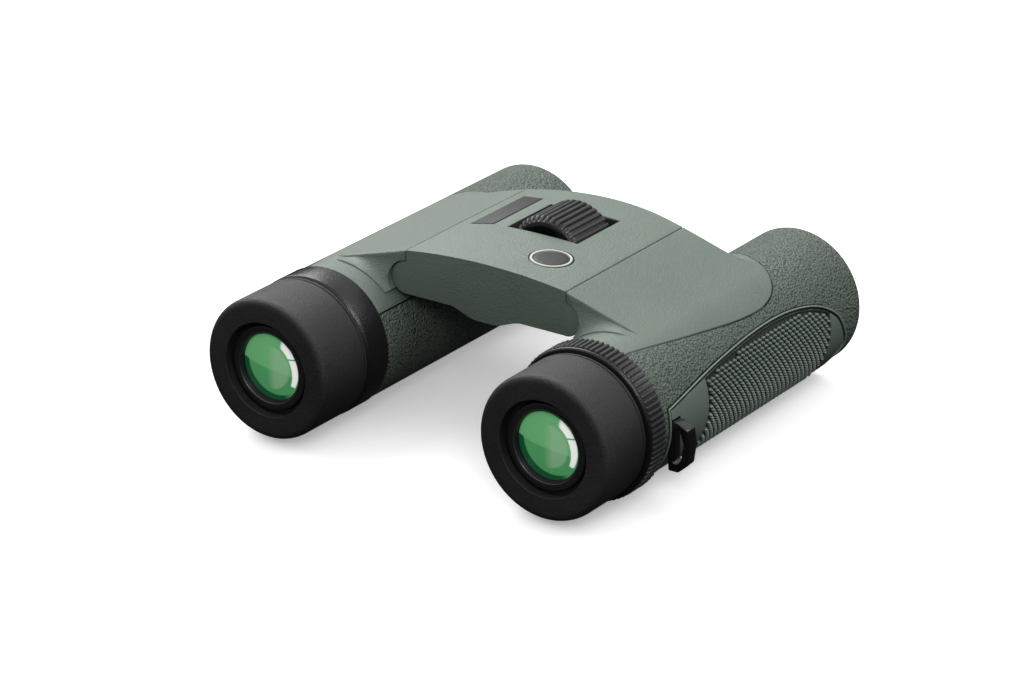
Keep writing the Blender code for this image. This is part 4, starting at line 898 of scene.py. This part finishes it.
def makeCover(side):
    word = words[side]
    start = cover["rightStart"] if side > 0 else cover["leftStart"]
    rear, front = cover["wingRear"], cover["wingFront"]
    rows = [(start, 0.28), (start + 0.1, 0.08), (start + 0.25, 0)]
    facetEnd = front + cover["facet"]
    spans = (
        (start + 0.8, cover["plainEnd"], 8), (cover["footStart"], rear - 0.03, 40),
        (rear, rear + cover["edgeRound"], 6), (rear + 1.0, front - 0.8, 60),
        (front - cover["frontEase"], front, 5), (front + 0.25, facetEnd, 8),
        (facetEnd + 0.4, cover["end"] - 0.3, 20),
    )
    rows += [(d, 0) for span in spans for d in spread(*span)]
    rows += [(cover["end"] - 0.12, 0.06), (cover["end"], 0.25)]
    outer, inner = [], []
    edge = math.radians(cover["innerEdge"])
    for distance, drop in rows:
        low = coverSeam(distance)
        marks = [low]
        for mark in (tangentAngle, cornerAngle - 0.02, cornerAngle + 0.02, hingeAngle - 0.0004,
                     hingeAngle + 0.0001, edge):
            marks.append(max(mark, marks[-1] + 0.004))
        angles = [low + turn for turn, drop in cover["seamEase"]]
        drops = [drop for turn, drop in cover["seamEase"]]
        starts = [marks[0] + 0.02] + marks[1:-1]
        for near, far, count in zip(starts, marks[1:], cover["columns"]):
            angles += [near + (far - near) * i / count for i in range(count)]
            drops += [0.0] * count
        angles += [edge - 0.006, edge]
        drops += [0.05, 0.22]
        angles = np.maximum.accumulate(angles)
        outer.append([barrelPoint(side, wingRadius(a, distance) - max(drop, d), a, distance)
                      for a, d in zip(angles, drops)])
        inner.append([barrelPoint(side, innerRadius, a, distance) for a in angles])
    shell = meshObject(word + "Cover", *grid(outer, inner))
    centre = hingeAxis(side)
    bridgeRear = shared["bridgeRear"]
    (a0, a1), (b0, b1) = bridge["eyes"]
    steps = []
    for near, far in ((-cover["troughRear"], a0), (a1, b0),
                      (b1, shared["bridgeLength"] + cover["troughFront"])):
        steps += cut(rod("trough", shared["trough"], bridgeRear + near, bridgeRear + far,
                         centre, 128))
    for near, far in bridge["eyes"]:
        steps.append(("UNION", rod("eye", shared["knuckle"], bridgeRear + near + 0.02,
                                   bridgeRear + far - 0.02, centre, 96)))
    lean = hingeAngle if side > 0 else math.pi - hingeAngle
    half, sweep = cover["armHalf"], cover["armSweep"]
    place = Matrix.Translation((side * shared["axisX"], yAt(bridgeRear + cover["armMiddle"]),
                                shared["axisHeight"]))
    place = place @ Matrix.Rotation(-lean, 4, "Y")
    steps += cut(block("armSlot", (cover["armFrom"], -sweep, -half),
                       (cover["armTo"], sweep, half), place))
    steps += cut(rod("eyeBore", shared["pinBore"], bridgeRear + cover["pinFrom"],
                     bridgeRear + cover["pinTo"], centre))
    carve(shell, *steps)
    finished(shell, looks["softTouch"], word + "_barrel", "soft_touch", word + "_top_cover")


# rubber armour
armour = {"rimRound": 1.5, "lip": 14.3, "outside": 19.0, "padDepth": 0.75}


def sector(name, side, rows, lowHigh, outer, inner, columns=40):
    high, low = [], []
    for distance, given in rows:
        near, far = lowHigh(given)
        angles = spread(near, far, columns)
        high.append([barrelPoint(side, outer, a, distance) for a in angles])
        low.append([barrelPoint(side, inner, a, distance) for a in angles])
    return meshObject(name, *grid(high, low))


def makeArmour(side):
    word = words[side]
    start = cover["rightStart"] if side > 0 else cover["leftStart"]
    centre = barrelAxis(side)
    base, rim, gap = shared["barrelRadius"], shared["length"], shared["gap"]
    profile = rounded([(armour["lip"], rim, 0.5), (base, rim, armour["rimRound"]), (base, start, 0.35),
                       (innerRadius, start, 0), (innerRadius, rim - shared["wall"], 0),
                       (armour["lip"], rim - shared["wall"], 0)], 7)
    skin = turned(word + "Armour", profile, centre, 240)
    turn = gap / base
    rows = [(start - 1.0, start)]
    rows += [(d, d) for d in spread(start, cover["end"], 110)]
    rows += [(cover["end"] + gap, cover["end"])]
    edge = math.radians(cover["innerEdge"]) + turn
    opening = sector("coverRoom", side, rows, lambda d: (coverSeam(d) - turn, edge), armour["outside"],
                     innerRadius - 1.0)
    padHole = sector("padRoom", side, padStations(gap), lambda d: padSpan(d, gap), armour["outside"],
                     base - armour["padDepth"])
    carve(skin, *cut(opening, padHole, lugSolid("lugRoom", side, gap, False)))
    finished(skin, looks["armourSkin"], word + "_barrel", "armour_rubber", word + "_armour")


# grip pads with their beads and knurl
pad = {
    "start": 24.3, "tip": 101.7, "centre": -22.0, "radius": 16.95, "floor": 15.95, "bead": 0.42,
    "beadRise": 0.26, "groove": 0.46, "grooveDepth": 0.5, "sink": 0.45, "knurlStart": 41.0,
    "knurlEnd": 92.2, "margin": 1.75, "pitch": 1.72, "arcPitch": 1.95, "tooth": 0.72, "point": 0.24,
    "toothHeight": 1.1, "toothTop": 17.5, "ramp": 0.35, "bedMargin": 0.8, "edgeDrop": 0.05,
    "edgeEase": 0.4, "teethAcross": 20,
    "edge": ((0, 15.7), (22.9, 28.6), (45.7, 34.0), (61.6, 27.4), (71.6, 10.1), (76.4, -12.9),
             (77.4, -20.0)),
}


def padEdge(distance):
    return math.radians(through(pad["edge"], distance - pad["start"]))


def padSpan(distance, extra=0.0):
    turn = extra / shared["barrelRadius"]
    high = padEdge(distance) + turn
    return 2 * math.radians(pad["centre"]) - high, high


def padStations(extra=0.0):
    start, tip = pad["start"], pad["tip"]
    given = spread(start, tip - 8, 60) + spread(tip - 7.8, tip, 40)
    return [(given[0] - extra, given[0])] + [(d, d) for d in given[1:-1]] + [(given[-1] + extra, given[-1])]


def padRim():
    # outline of the pad, unrolled to (distance, arc length)
    ds = spread(pad["start"], pad["tip"], 400)
    upper = [(d, shared["barrelRadius"] * padEdge(d)) for d in ds]
    lower = [(d, shared["barrelRadius"] * padSpan(d)[0]) for d in ds]
    tail = [(pad["start"], shared["barrelRadius"] * a) for a in spread(*padSpan(pad["start"]), 60)]
    nose = [(pad["tip"], shared["barrelRadius"] * a) for a in spread(*padSpan(pad["tip"]), 8)]
    return np.array(upper + lower + tail + nose)


def padHeight(inset, distance):
    # relief across the border: bead, groove, the plain field, then the sunk bed of the knurl
    bead, groove = pad["bead"], pad["groove"]
    around, drop = pad["bedMargin"], pad["edgeDrop"]
    deep = min(inset - pad["margin"] + around, distance - pad["knurlStart"] + around,
               pad["knurlEnd"] + around - distance)
    if deep > 0:
        return -pad["sink"] * min(deep / pad["ramp"], 1)
    if inset < bead:
        share = inset / bead * 2 - 1
        return -drop + pad["beadRise"] * math.sqrt(max(1 - share * share, 0))
    if inset < bead + groove:
        share = (inset - bead) / groove * 2 - 1
        return -drop - pad["grooveDepth"] * math.sqrt(max(1 - share * share, 0))
    return 0.0 - drop * max(1 - (inset - bead - groove) / pad["edgeEase"], 0)


def makePad(side):
    word = words[side]
    rim = padRim()
    start, tip = pad["start"], pad["tip"]
    rows = spread(start, start + 1.6, 18)
    rows += spread(start + 1.75, tip - 9, 150)
    rows += spread(tip - 8.9, tip, 90)
    shares = [0.5 - 0.5 * math.cos(math.pi * t) for t in spread(0, 1, 150)]
    outer, inner = [], []
    for distance in rows:
        low, high = padSpan(distance)
        angles = [low + (high - low) * s for s in shares]
        flat = np.array([(distance, shared["barrelRadius"] * a) for a in angles])
        gaps = np.sqrt(((flat[:, None, :] - rim[None, :, :]) ** 2).sum(axis=2)).min(axis=1)
        outer.append([barrelPoint(side, pad["radius"] + padHeight(g, distance), a, distance)
                      for a, g in zip(angles, gaps)])
        inner.append([barrelPoint(side, pad["floor"], a, distance) for a in angles])
    field = meshObject(word + "GripPad", *grid(outer, inner), 50)
    carve(field, *cut(lugSolid("lugNotch", side, shared["gap"], False)), sharp=50)
    finished(field, looks["gripRubber"], word + "_barrel", "armour_rubber", word + "_grip_pad")

    points = []
    half = pad["pitch"] / 2
    rowCount = int((pad["knurlEnd"] - pad["knurlStart"]) / half)
    radius = pad["toothTop"] - pad["toothHeight"]
    middle = shared["barrelRadius"] * math.radians(pad["centre"])
    for i in range(rowCount + 1):
        distance = pad["knurlStart"] + i * half
        for j in range(-pad["teethAcross"], pad["teethAcross"] + 1):
            arc = (j + (0.5 if i % 2 else 0.0)) * pad["arcPitch"] + middle
            angle = arc / shared["barrelRadius"]
            inset = np.sqrt(((rim - np.array([distance, arc])) ** 2).sum(axis=1)).min()
            low, high = padSpan(distance)
            if inset > pad["margin"] and low < angle < high:
                points.append(barrelPoint(side, radius, angle, distance))
    seeds = meshObject(word + "Knurl", points, [])
    grow(seeds, knurlTeeth, {"Centre": (side * shared["axisX"] * 0.001, 0.0, shared["axisHeight"] * 0.001),
                             "Reach": pad["tooth"] * 0.001, "Tip": pad["point"] * 0.001,
                             "Height": pad["toothHeight"] * 0.001, "Finish": looks["gripRubber"]})
    finished(seeds, looks["gripRubber"], word + "_barrel", "armour_rubber", word + "_grip_pad")


# strap lugs
lug = {
    "start": 25.0, "length": 3.2, "reach": 21.5, "high": 1.6, "low": -10.2, "ease": 0.45,
    "hole": ((17.25, 0.1), (18.6, 0.1), (19.8, -3.2), (19.2, -6.9), (18.3, -8.4), (17.25, -7.8)),
}


def lugSolid(name, side, extra, withHole):
    high, low, reach = lug["high"] + extra, lug["low"] - extra, lug["reach"] + extra
    foot = innerRadius + 0.2 - extra
    corners = [(foot, high), (reach - 3.3, high), (reach - 0.6, high - 1.2), (reach, -3.2),
               (reach - 0.6, -7.8),
               (reach - 3.0, low), (foot + 0.6, low)]
    spans = (lug["start"] - extra, lug["start"] + lug["length"] + extra)
    solid = loft(name, [[(side * (shared["axisX"] + x), yAt(d), zAt(z)) for x, z in corners]
                        for d in spans])
    if withHole:
        hole = loft("hole", [[(side * (shared["axisX"] + x), yAt(d), zAt(z)) for x, z in lug["hole"]]
                             for d in (spans[0] - 1, spans[1] + 1)])
        carve(solid, *cut(hole))
        bevelled(solid, lug["ease"], 3, 25)
    return solid


def makeLug(side):
    word = words[side]
    loop = lugSolid(word + "Lug", side, 0.0, True)
    finished(loop, looks["glossBlack"], word + "_barrel", "gloss_black", word + "_strap_lug")


for side in words:
    makeCover(side)
    print("stage:", words[side], "cover")
    makeArmour(side)
    makePad(side)
    makeLug(side)
    print("stage:", words[side], "armour, pad and lug")


# eyecups
eyecup = {
    "radius": 16.8, "leftLength": 15.9, "rightLength": 15.0, "opening": 11.2, "face": 2.3, "round": 1.9,
    "wall": 2.3, "groove": 0.3,
}
ocular = {
    "radius": 10.0, "front": 1.4, "length": 18.6, "bore": 8.9, "lipOuter": 8.75, "lipInner": 8.3,
    "seat": 8.6, "glassRear": 3.1, "glassFront": 0.5, "dome": 1.05, "sag": 0.4,
}


def makeEyecup(side):
    word = words[side]
    centre = barrelAxis(side)
    end = eyecup["rightLength"] if side > 0 else eyecup["leftLength"]
    outer, inner = eyecup["radius"], eyecup["radius"] - eyecup["wall"]
    profile = rounded([
        (inner, end, 0), (outer - 0.1, end, 0.25), (outer, end - 0.75, 0.12),
        (outer - eyecup["groove"], end - 0.85, 0),
        (outer - eyecup["groove"], end - 1.05, 0), (outer, end - 1.2, 0.12), (outer, 0.0, eyecup["round"]),
        (eyecup["opening"] + 0.12, 0.0, 0), (eyecup["opening"], 0.14, 0),
        (eyecup["opening"], eyecup["face"], 0),
        (inner, eyecup["face"], 0)], 7)
    cup = turned(word + "Eyecup", profile, centre, 192)
    finished(cup, looks["cupRubber"], word + "_eyecup", "eyecup_rubber", word + "_eyecup_rubber")

    front, back = ocular["front"], ocular["front"] + ocular["length"]
    body = "right_ocular" if side > 0 else "left_barrel"
    cell = turned(word + "OcularCell", rounded([
        (ocular["bore"], back, 0), (ocular["radius"], back, 0.2), (ocular["radius"], front, 0.3),
        (ocular["lipOuter"], front, 0.05), (ocular["lipOuter"] - 0.08, front + 0.14, 0),
        (lens["aperture"] + 0.28, front + 0.14, 0), (lens["aperture"], front + 0.75, 0),
        (lens["aperture"], front + 1.4, 0), (ocular["bore"], front + 1.4, 0)], 4), centre, 160)
    finished(cell, looks["blackMetal"], body, "black_metal", word + "_ocular_cell")
    # the retaining lip is lighter than the rest of the cell: a painted highlight ring
    lip = turned(word + "RetainingLip", rounded([
        (ocular["lipOuter"] - 0.12, front + 0.16, 0), (ocular["lipOuter"] - 0.12, front - 0.02, 0.08),
        (ocular["lipInner"] + 0.12, front - 0.02, 0.12), (ocular["lipInner"] - 0.04, front + 0.34, 0)], 4),
        centre, 160)
    finished(lip, looks["lipHighlightMetal"], body, "black_metal", word + "_ocular_cell")
    seat, rear = ocular["seat"], front + ocular["glassRear"]
    dome = [(seat * t, front + ocular["glassFront"] + ocular["dome"] * t * t) for t in spread(0, 1, 20)]
    glass = turned(word + "EyeLens", dome + [(seat, rear), (0, rear + ocular["sag"])], centre, 160)
    finished(glass, eyeGlass(word + "EyeGlass", side), body, "coated_glass", word + "_eye_lens")


# collar and dioptre rings
collar = {"start": 16.2, "end": 23.7, "radius": 16.95, "inner": 15.2, "chamfer": 0.6}
dioptre = {
    "start": 15.3, "end": 21.6, "inner": 15.2, "core": 17.35, "lip": 17.75, "ribs": 84,
    "rib": {
        "width": 0.68, "foot": 17.0, "top": 18.0, "ease": 0.18, "run": 0.25, "fall": 0.3,
        "start": 16.15, "end": 21.4,
    },
}


def makeRings():
    centre = barrelAxis(-1)
    r, c = collar["radius"], collar["chamfer"]
    profile = rounded([(collar["inner"], collar["end"], 0), (r, collar["end"], 0.2),
                       (r, collar["start"] + c, 0.15),
                       (r - c, collar["start"], 0.15), (collar["inner"], collar["start"], 0)], 4)
    finished(turned("leftCollar", profile, centre, 192), looks["satinBlackAndGapShade"], "left_barrel",
             "black_plastic", "left_collar_ring")
    centre = barrelAxis(1)
    d = dioptre
    profile = rounded([(d["inner"], d["end"], 0), (d["core"] + 0.1, d["end"], 0.15),
                       (d["core"], d["end"] - 0.25, 0),
                       (d["core"], d["start"] + 0.85, 0), (d["lip"], d["start"] + 0.7, 0.12),
                       (d["lip"], d["start"] + 0.3, 0.2), (d["lip"] - 0.4, d["start"], 0.1),
                       (d["inner"], d["start"], 0)], 4)
    # the ring's core is darker than the rubber of its ribs: painted shade in the gaps between them
    finished(turned("dioptreRing", profile, centre, 192), looks["satinBlackAndGapShade"], "right_diopter_ring",
             "wheel_rubber", "right_diopter_ring")
    bar = rib("dioptreRibs", d["rib"])
    grow(bar, spinCopies, {"Count": d["ribs"], "Centre": (centre[0] * 0.001, 0.0, centre[1] * 0.001),
                           "Finish": looks["wheelRubber"]})
    finished(bar, looks["wheelRubber"], "right_diopter_ring", "wheel_rubber", "right_diopter_ring")


# focus wheel
wheel = {
    "core": 9.4, "bore": 2.1, "hub": 4.4, "dish": 1.8, "ribs": 40, "edge": 8.7,
    "rib": {
        "width": 0.84, "foot": 8.4, "top": 10.0, "ease": 0.24, "run": 1.1, "fall": 0.95, "start": 56.4,
        "end": 71.0,
    },
}


def makeWheel():
    start, end = shared["wheelStart"], shared["wheelStart"] + shared["wheelLength"]
    w, centre = wheel, (0, zAt(shared["wheelRise"]))
    profile = rounded([
        (w["bore"], end - w["dish"], 0), (w["hub"], end - w["dish"], 0.8), (w["edge"] - 0.9, end, 0.3),
        (w["edge"], end, 0.3), (w["core"], end - 1.2, 0.5), (w["core"], start + 1.2, 0.5),
        (w["edge"], start, 0.3), (w["edge"] - 0.9, start, 0.3), (w["hub"], start + w["dish"], 0.8),
        (w["bore"], start + w["dish"], 0)], 5)
    # the wheel's core is darker than the rubber of its ribs: painted shade in the gaps between them
    finished(turned("focusWheelCore", profile, centre, 160), looks["satinBlackAndGapShade"], "focus_wheel",
             "wheel_rubber", "focus_wheel")
    bar = rib("focusWheelRibs", w["rib"])
    grow(bar, spinCopies, {"Count": w["ribs"], "Centre": (0.0, 0.0, centre[1] * 0.001),
                           "Finish": looks["wheelRubber"]})
    finished(bar, looks["wheelRubber"], "focus_wheel", "wheel_rubber", "focus_wheel")


# objective ends
objective = {
    "aperture": 12.5, "seat": 13.6, "front": 97.2, "edge": 3.0, "length": 1.8, "ridges": 5,
    "ridgeStep": 0.12, "frontSag": 1.2, "rearSag": 0.6,
}


def makeObjective(side):
    word, o = words[side], objective
    centre = barrelAxis(side)
    ridges = []
    start, count = o["front"] + shared["gap"], o["ridges"]
    for i in range(count):
        step = start + o["length"] * i / count
        radius = o["aperture"] + o["ridgeStep"] * i
        ridges += [(radius, step + 0.04), (radius + 0.1, step + o["length"] / count - 0.06)]
    profile = [(o["seat"], start), (o["seat"], start + o["length"])] + ridges[::-1]
    retainer = turned(word + "Retainer", profile + [(o["aperture"], start)], centre, 160)
    finished(retainer, looks["blackMetal"], word + "_barrel", "black_metal", word + "_objective_retainer")
    front = [(o["seat"] * t, o["front"] + o["frontSag"] * (1 - t * t)) for t in spread(0, 1, 20)]
    rear = [(o["seat"] * t, o["front"] - o["edge"] - o["rearSag"] * (1 - t * t)) for t in spread(1, 0, 12)]
    glass = turned(word + "ObjectiveLens", front + rear, centre, 160)
    finished(glass, looks["objectiveGlass"], word + "_barrel", "coated_glass", word + "_objective_lens")


# bottom screws
screw = {"radius": 1.6, "head": 0.8, "shank": 0.8, "length": 5.5, "slot": 0.26, "reach": 0.95, "depth": 0.4}


def makeScrews():
    s, low = screw, underside(bridge["postX"])
    profile = [(0, 0.15), (s["radius"] * 0.7, 0.16), (s["radius"] - 0.1, 0.24), (s["radius"], 0.36),
               (s["radius"], s["head"]),
               (s["shank"], s["head"]), (s["shank"], s["length"] - 0.5), (0, s["length"])]
    loops = [[(r * x, r * y, z) for r, z in profile] for x, y in circle(1, 48)]
    head = loft("bottomScrews", loops, closed=True)
    reach, half, depth = s["reach"], s["slot"] / 2, s["depth"]
    carve(head, *cut(block("slotA", (-reach, -half, -1), (reach, half, depth)),
                     block("slotB", (-half, -reach - 0.01, -1), (half, reach + 0.01, depth - 0.02))))
    depth = shared["bridgeLength"] - 2 * bridge["postInset"]
    middle = yAt(shared["bridgeRear"] + shared["bridgeLength"] / 2)
    grow(head, cornerCopies, {"Width": 2 * bridge["postX"] * 0.001, "Depth": depth * 0.001,
                              "Centre": (0.0, middle * 0.001, zAt(low) * 0.001), "Finish": looks["steel"]})
    replaced = ["bottom_cover_screw_" + str(i) for i in (1, 2, 3, 4)]
    finished(head, looks["steel"], "bridge", "steel", *replaced)


for side in words:
    makeEyecup(side)
    makeObjective(side)
makeRings()
makeWheel()
makeScrews()
print("stage: eyecups, rings, wheel, lenses and screws")

# CAD nodes that show as they are
kept = {
    "softTouch": ("bridge_bottom_cover",),
    "brass": ("focus_spindle", "focus_bush_rear", "focus_bush_front", "focus_carriage"),
}
keptBySide = {
    "steel": ("hinge_pin_rear", "hinge_pin_front"), "aluminium": ("barrel_tube", "prism_cage"),
    "prismGlass": ("prism_rear", "prism_front", "focus_lens", "field_lens"),
    "blackMetal": ("focus_cell", "ocular_spacer", "eyepiece_tube"), "brass": ("eyecup_guide",),
    "mouldedBlackAndShade": ("eyecup_core",),
}
painted = [(node, look) for look, nodes in kept.items() for node in nodes]
painted += [(word + "_" + node, look) for look, nodes in keptBySide.items() for node in nodes
            for word in words.values()]
for node, look in painted:
    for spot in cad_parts[node].material_slots:
        spot.material = looks[look]
print("stage: carried-over nodes painted")

# floor, light and camera
floorMesh = bpy.data.meshes.new("floor")
floorMesh.from_pydata([(-4, -4, -0.0002), (4, -4, -0.0002), (4, 4, -0.0002), (-4, 4, -0.0002)], [],
                      [(0, 1, 2, 3)])
floor = bpy.data.objects.new("floor", floorMesh)
scene.collection.objects.link(floor)
floorPaint = Paint("floorWhite")
floorPaint.set("Base Color", colour(0.9, 0.9, 0.9))
floorPaint.set("Roughness", 0.9)
floorPaint.set("Emission Color", colour(1.0, 1.0, 1.0))
floorPaint.set("Emission Strength", 0.35)
floorMesh.materials.append(floorPaint.material)
floor.visible_diffuse = False
floor.visible_glossy = False

world = bpy.data.worlds.new("studio")
scene.world = world
world.use_nodes = True
sky = world.node_tree
sky.nodes["Background"].inputs["Color"].default_value = (1, 1, 1, 1)
skyPlace = sky.nodes.new("ShaderNodeTexCoord")
skyParts = sky.nodes.new("ShaderNodeSeparateXYZ")
skyLevel = sky.nodes.new("ShaderNodeMapRange")
sky.links.new(skyPlace.outputs["Generated"], skyParts.inputs[0])
sky.links.new(skyParts.outputs[2], skyLevel.inputs["Value"])
sky.links.new(skyLevel.outputs[0], sky.nodes["Background"].inputs["Strength"])
for label, value in (("From Min", -0.1), ("From Max", 0.75), ("To Min", 0.02), ("To Max", 0.78)):
    skyLevel.inputs[label].default_value = value
scene.view_settings.view_transform = "Standard"

lamps = (
    ("topSoft", (-0.70, 0.32, 0.72), 0.85, 10.8),
    ("sideSoft", (0.60, 0.30, 0.80), 0.70, 4.0),
    ("faceSoft", (0.45, -0.60, 0.55), 0.25, 1.8),
)
for name, place, size, power in lamps:
    lamp = bpy.data.lights.new(name, "AREA")
    lamp.shape = "SQUARE"
    lamp.size = size
    lamp.energy = power
    holder = bpy.data.objects.new(name, lamp)
    holder.location = place
    aim = Vector((0, 0, 0.02)) - Vector(place)
    holder.rotation_euler = aim.to_track_quat("-Z", "Y").to_euler()
    scene.collection.objects.link(holder)

shot = {"azimuth": 34.73, "elevation": 22.88, "lens": 132.5, "distance": 823.9, "right": 24.43, "up": 14.45}
azimuth, elevation = math.radians(shot["azimuth"]), math.radians(shot["elevation"])
back = Vector((math.sin(azimuth) * math.cos(elevation), -math.cos(azimuth) * math.cos(elevation),
               math.sin(elevation)))
right = Vector((math.cos(azimuth), math.sin(azimuth), 0))
up = back.cross(right)
place = Vector((0, shared["eyeFace"], shared["axisHeight"]))
place += back * shot["distance"] + right * shot["right"] + up * shot["up"]
cameraData = bpy.data.cameras.new("camera")
cameraData.lens = shot["lens"]
cameraData.sensor_width = 36
camera = bpy.data.objects.new("camera", cameraData)
camera.location = place * 0.001
camera.rotation_euler = Matrix((right, up, back)).transposed().to_euler()
scene.collection.objects.link(camera)
scene.camera = camera
print("stage: floor, light and camera")
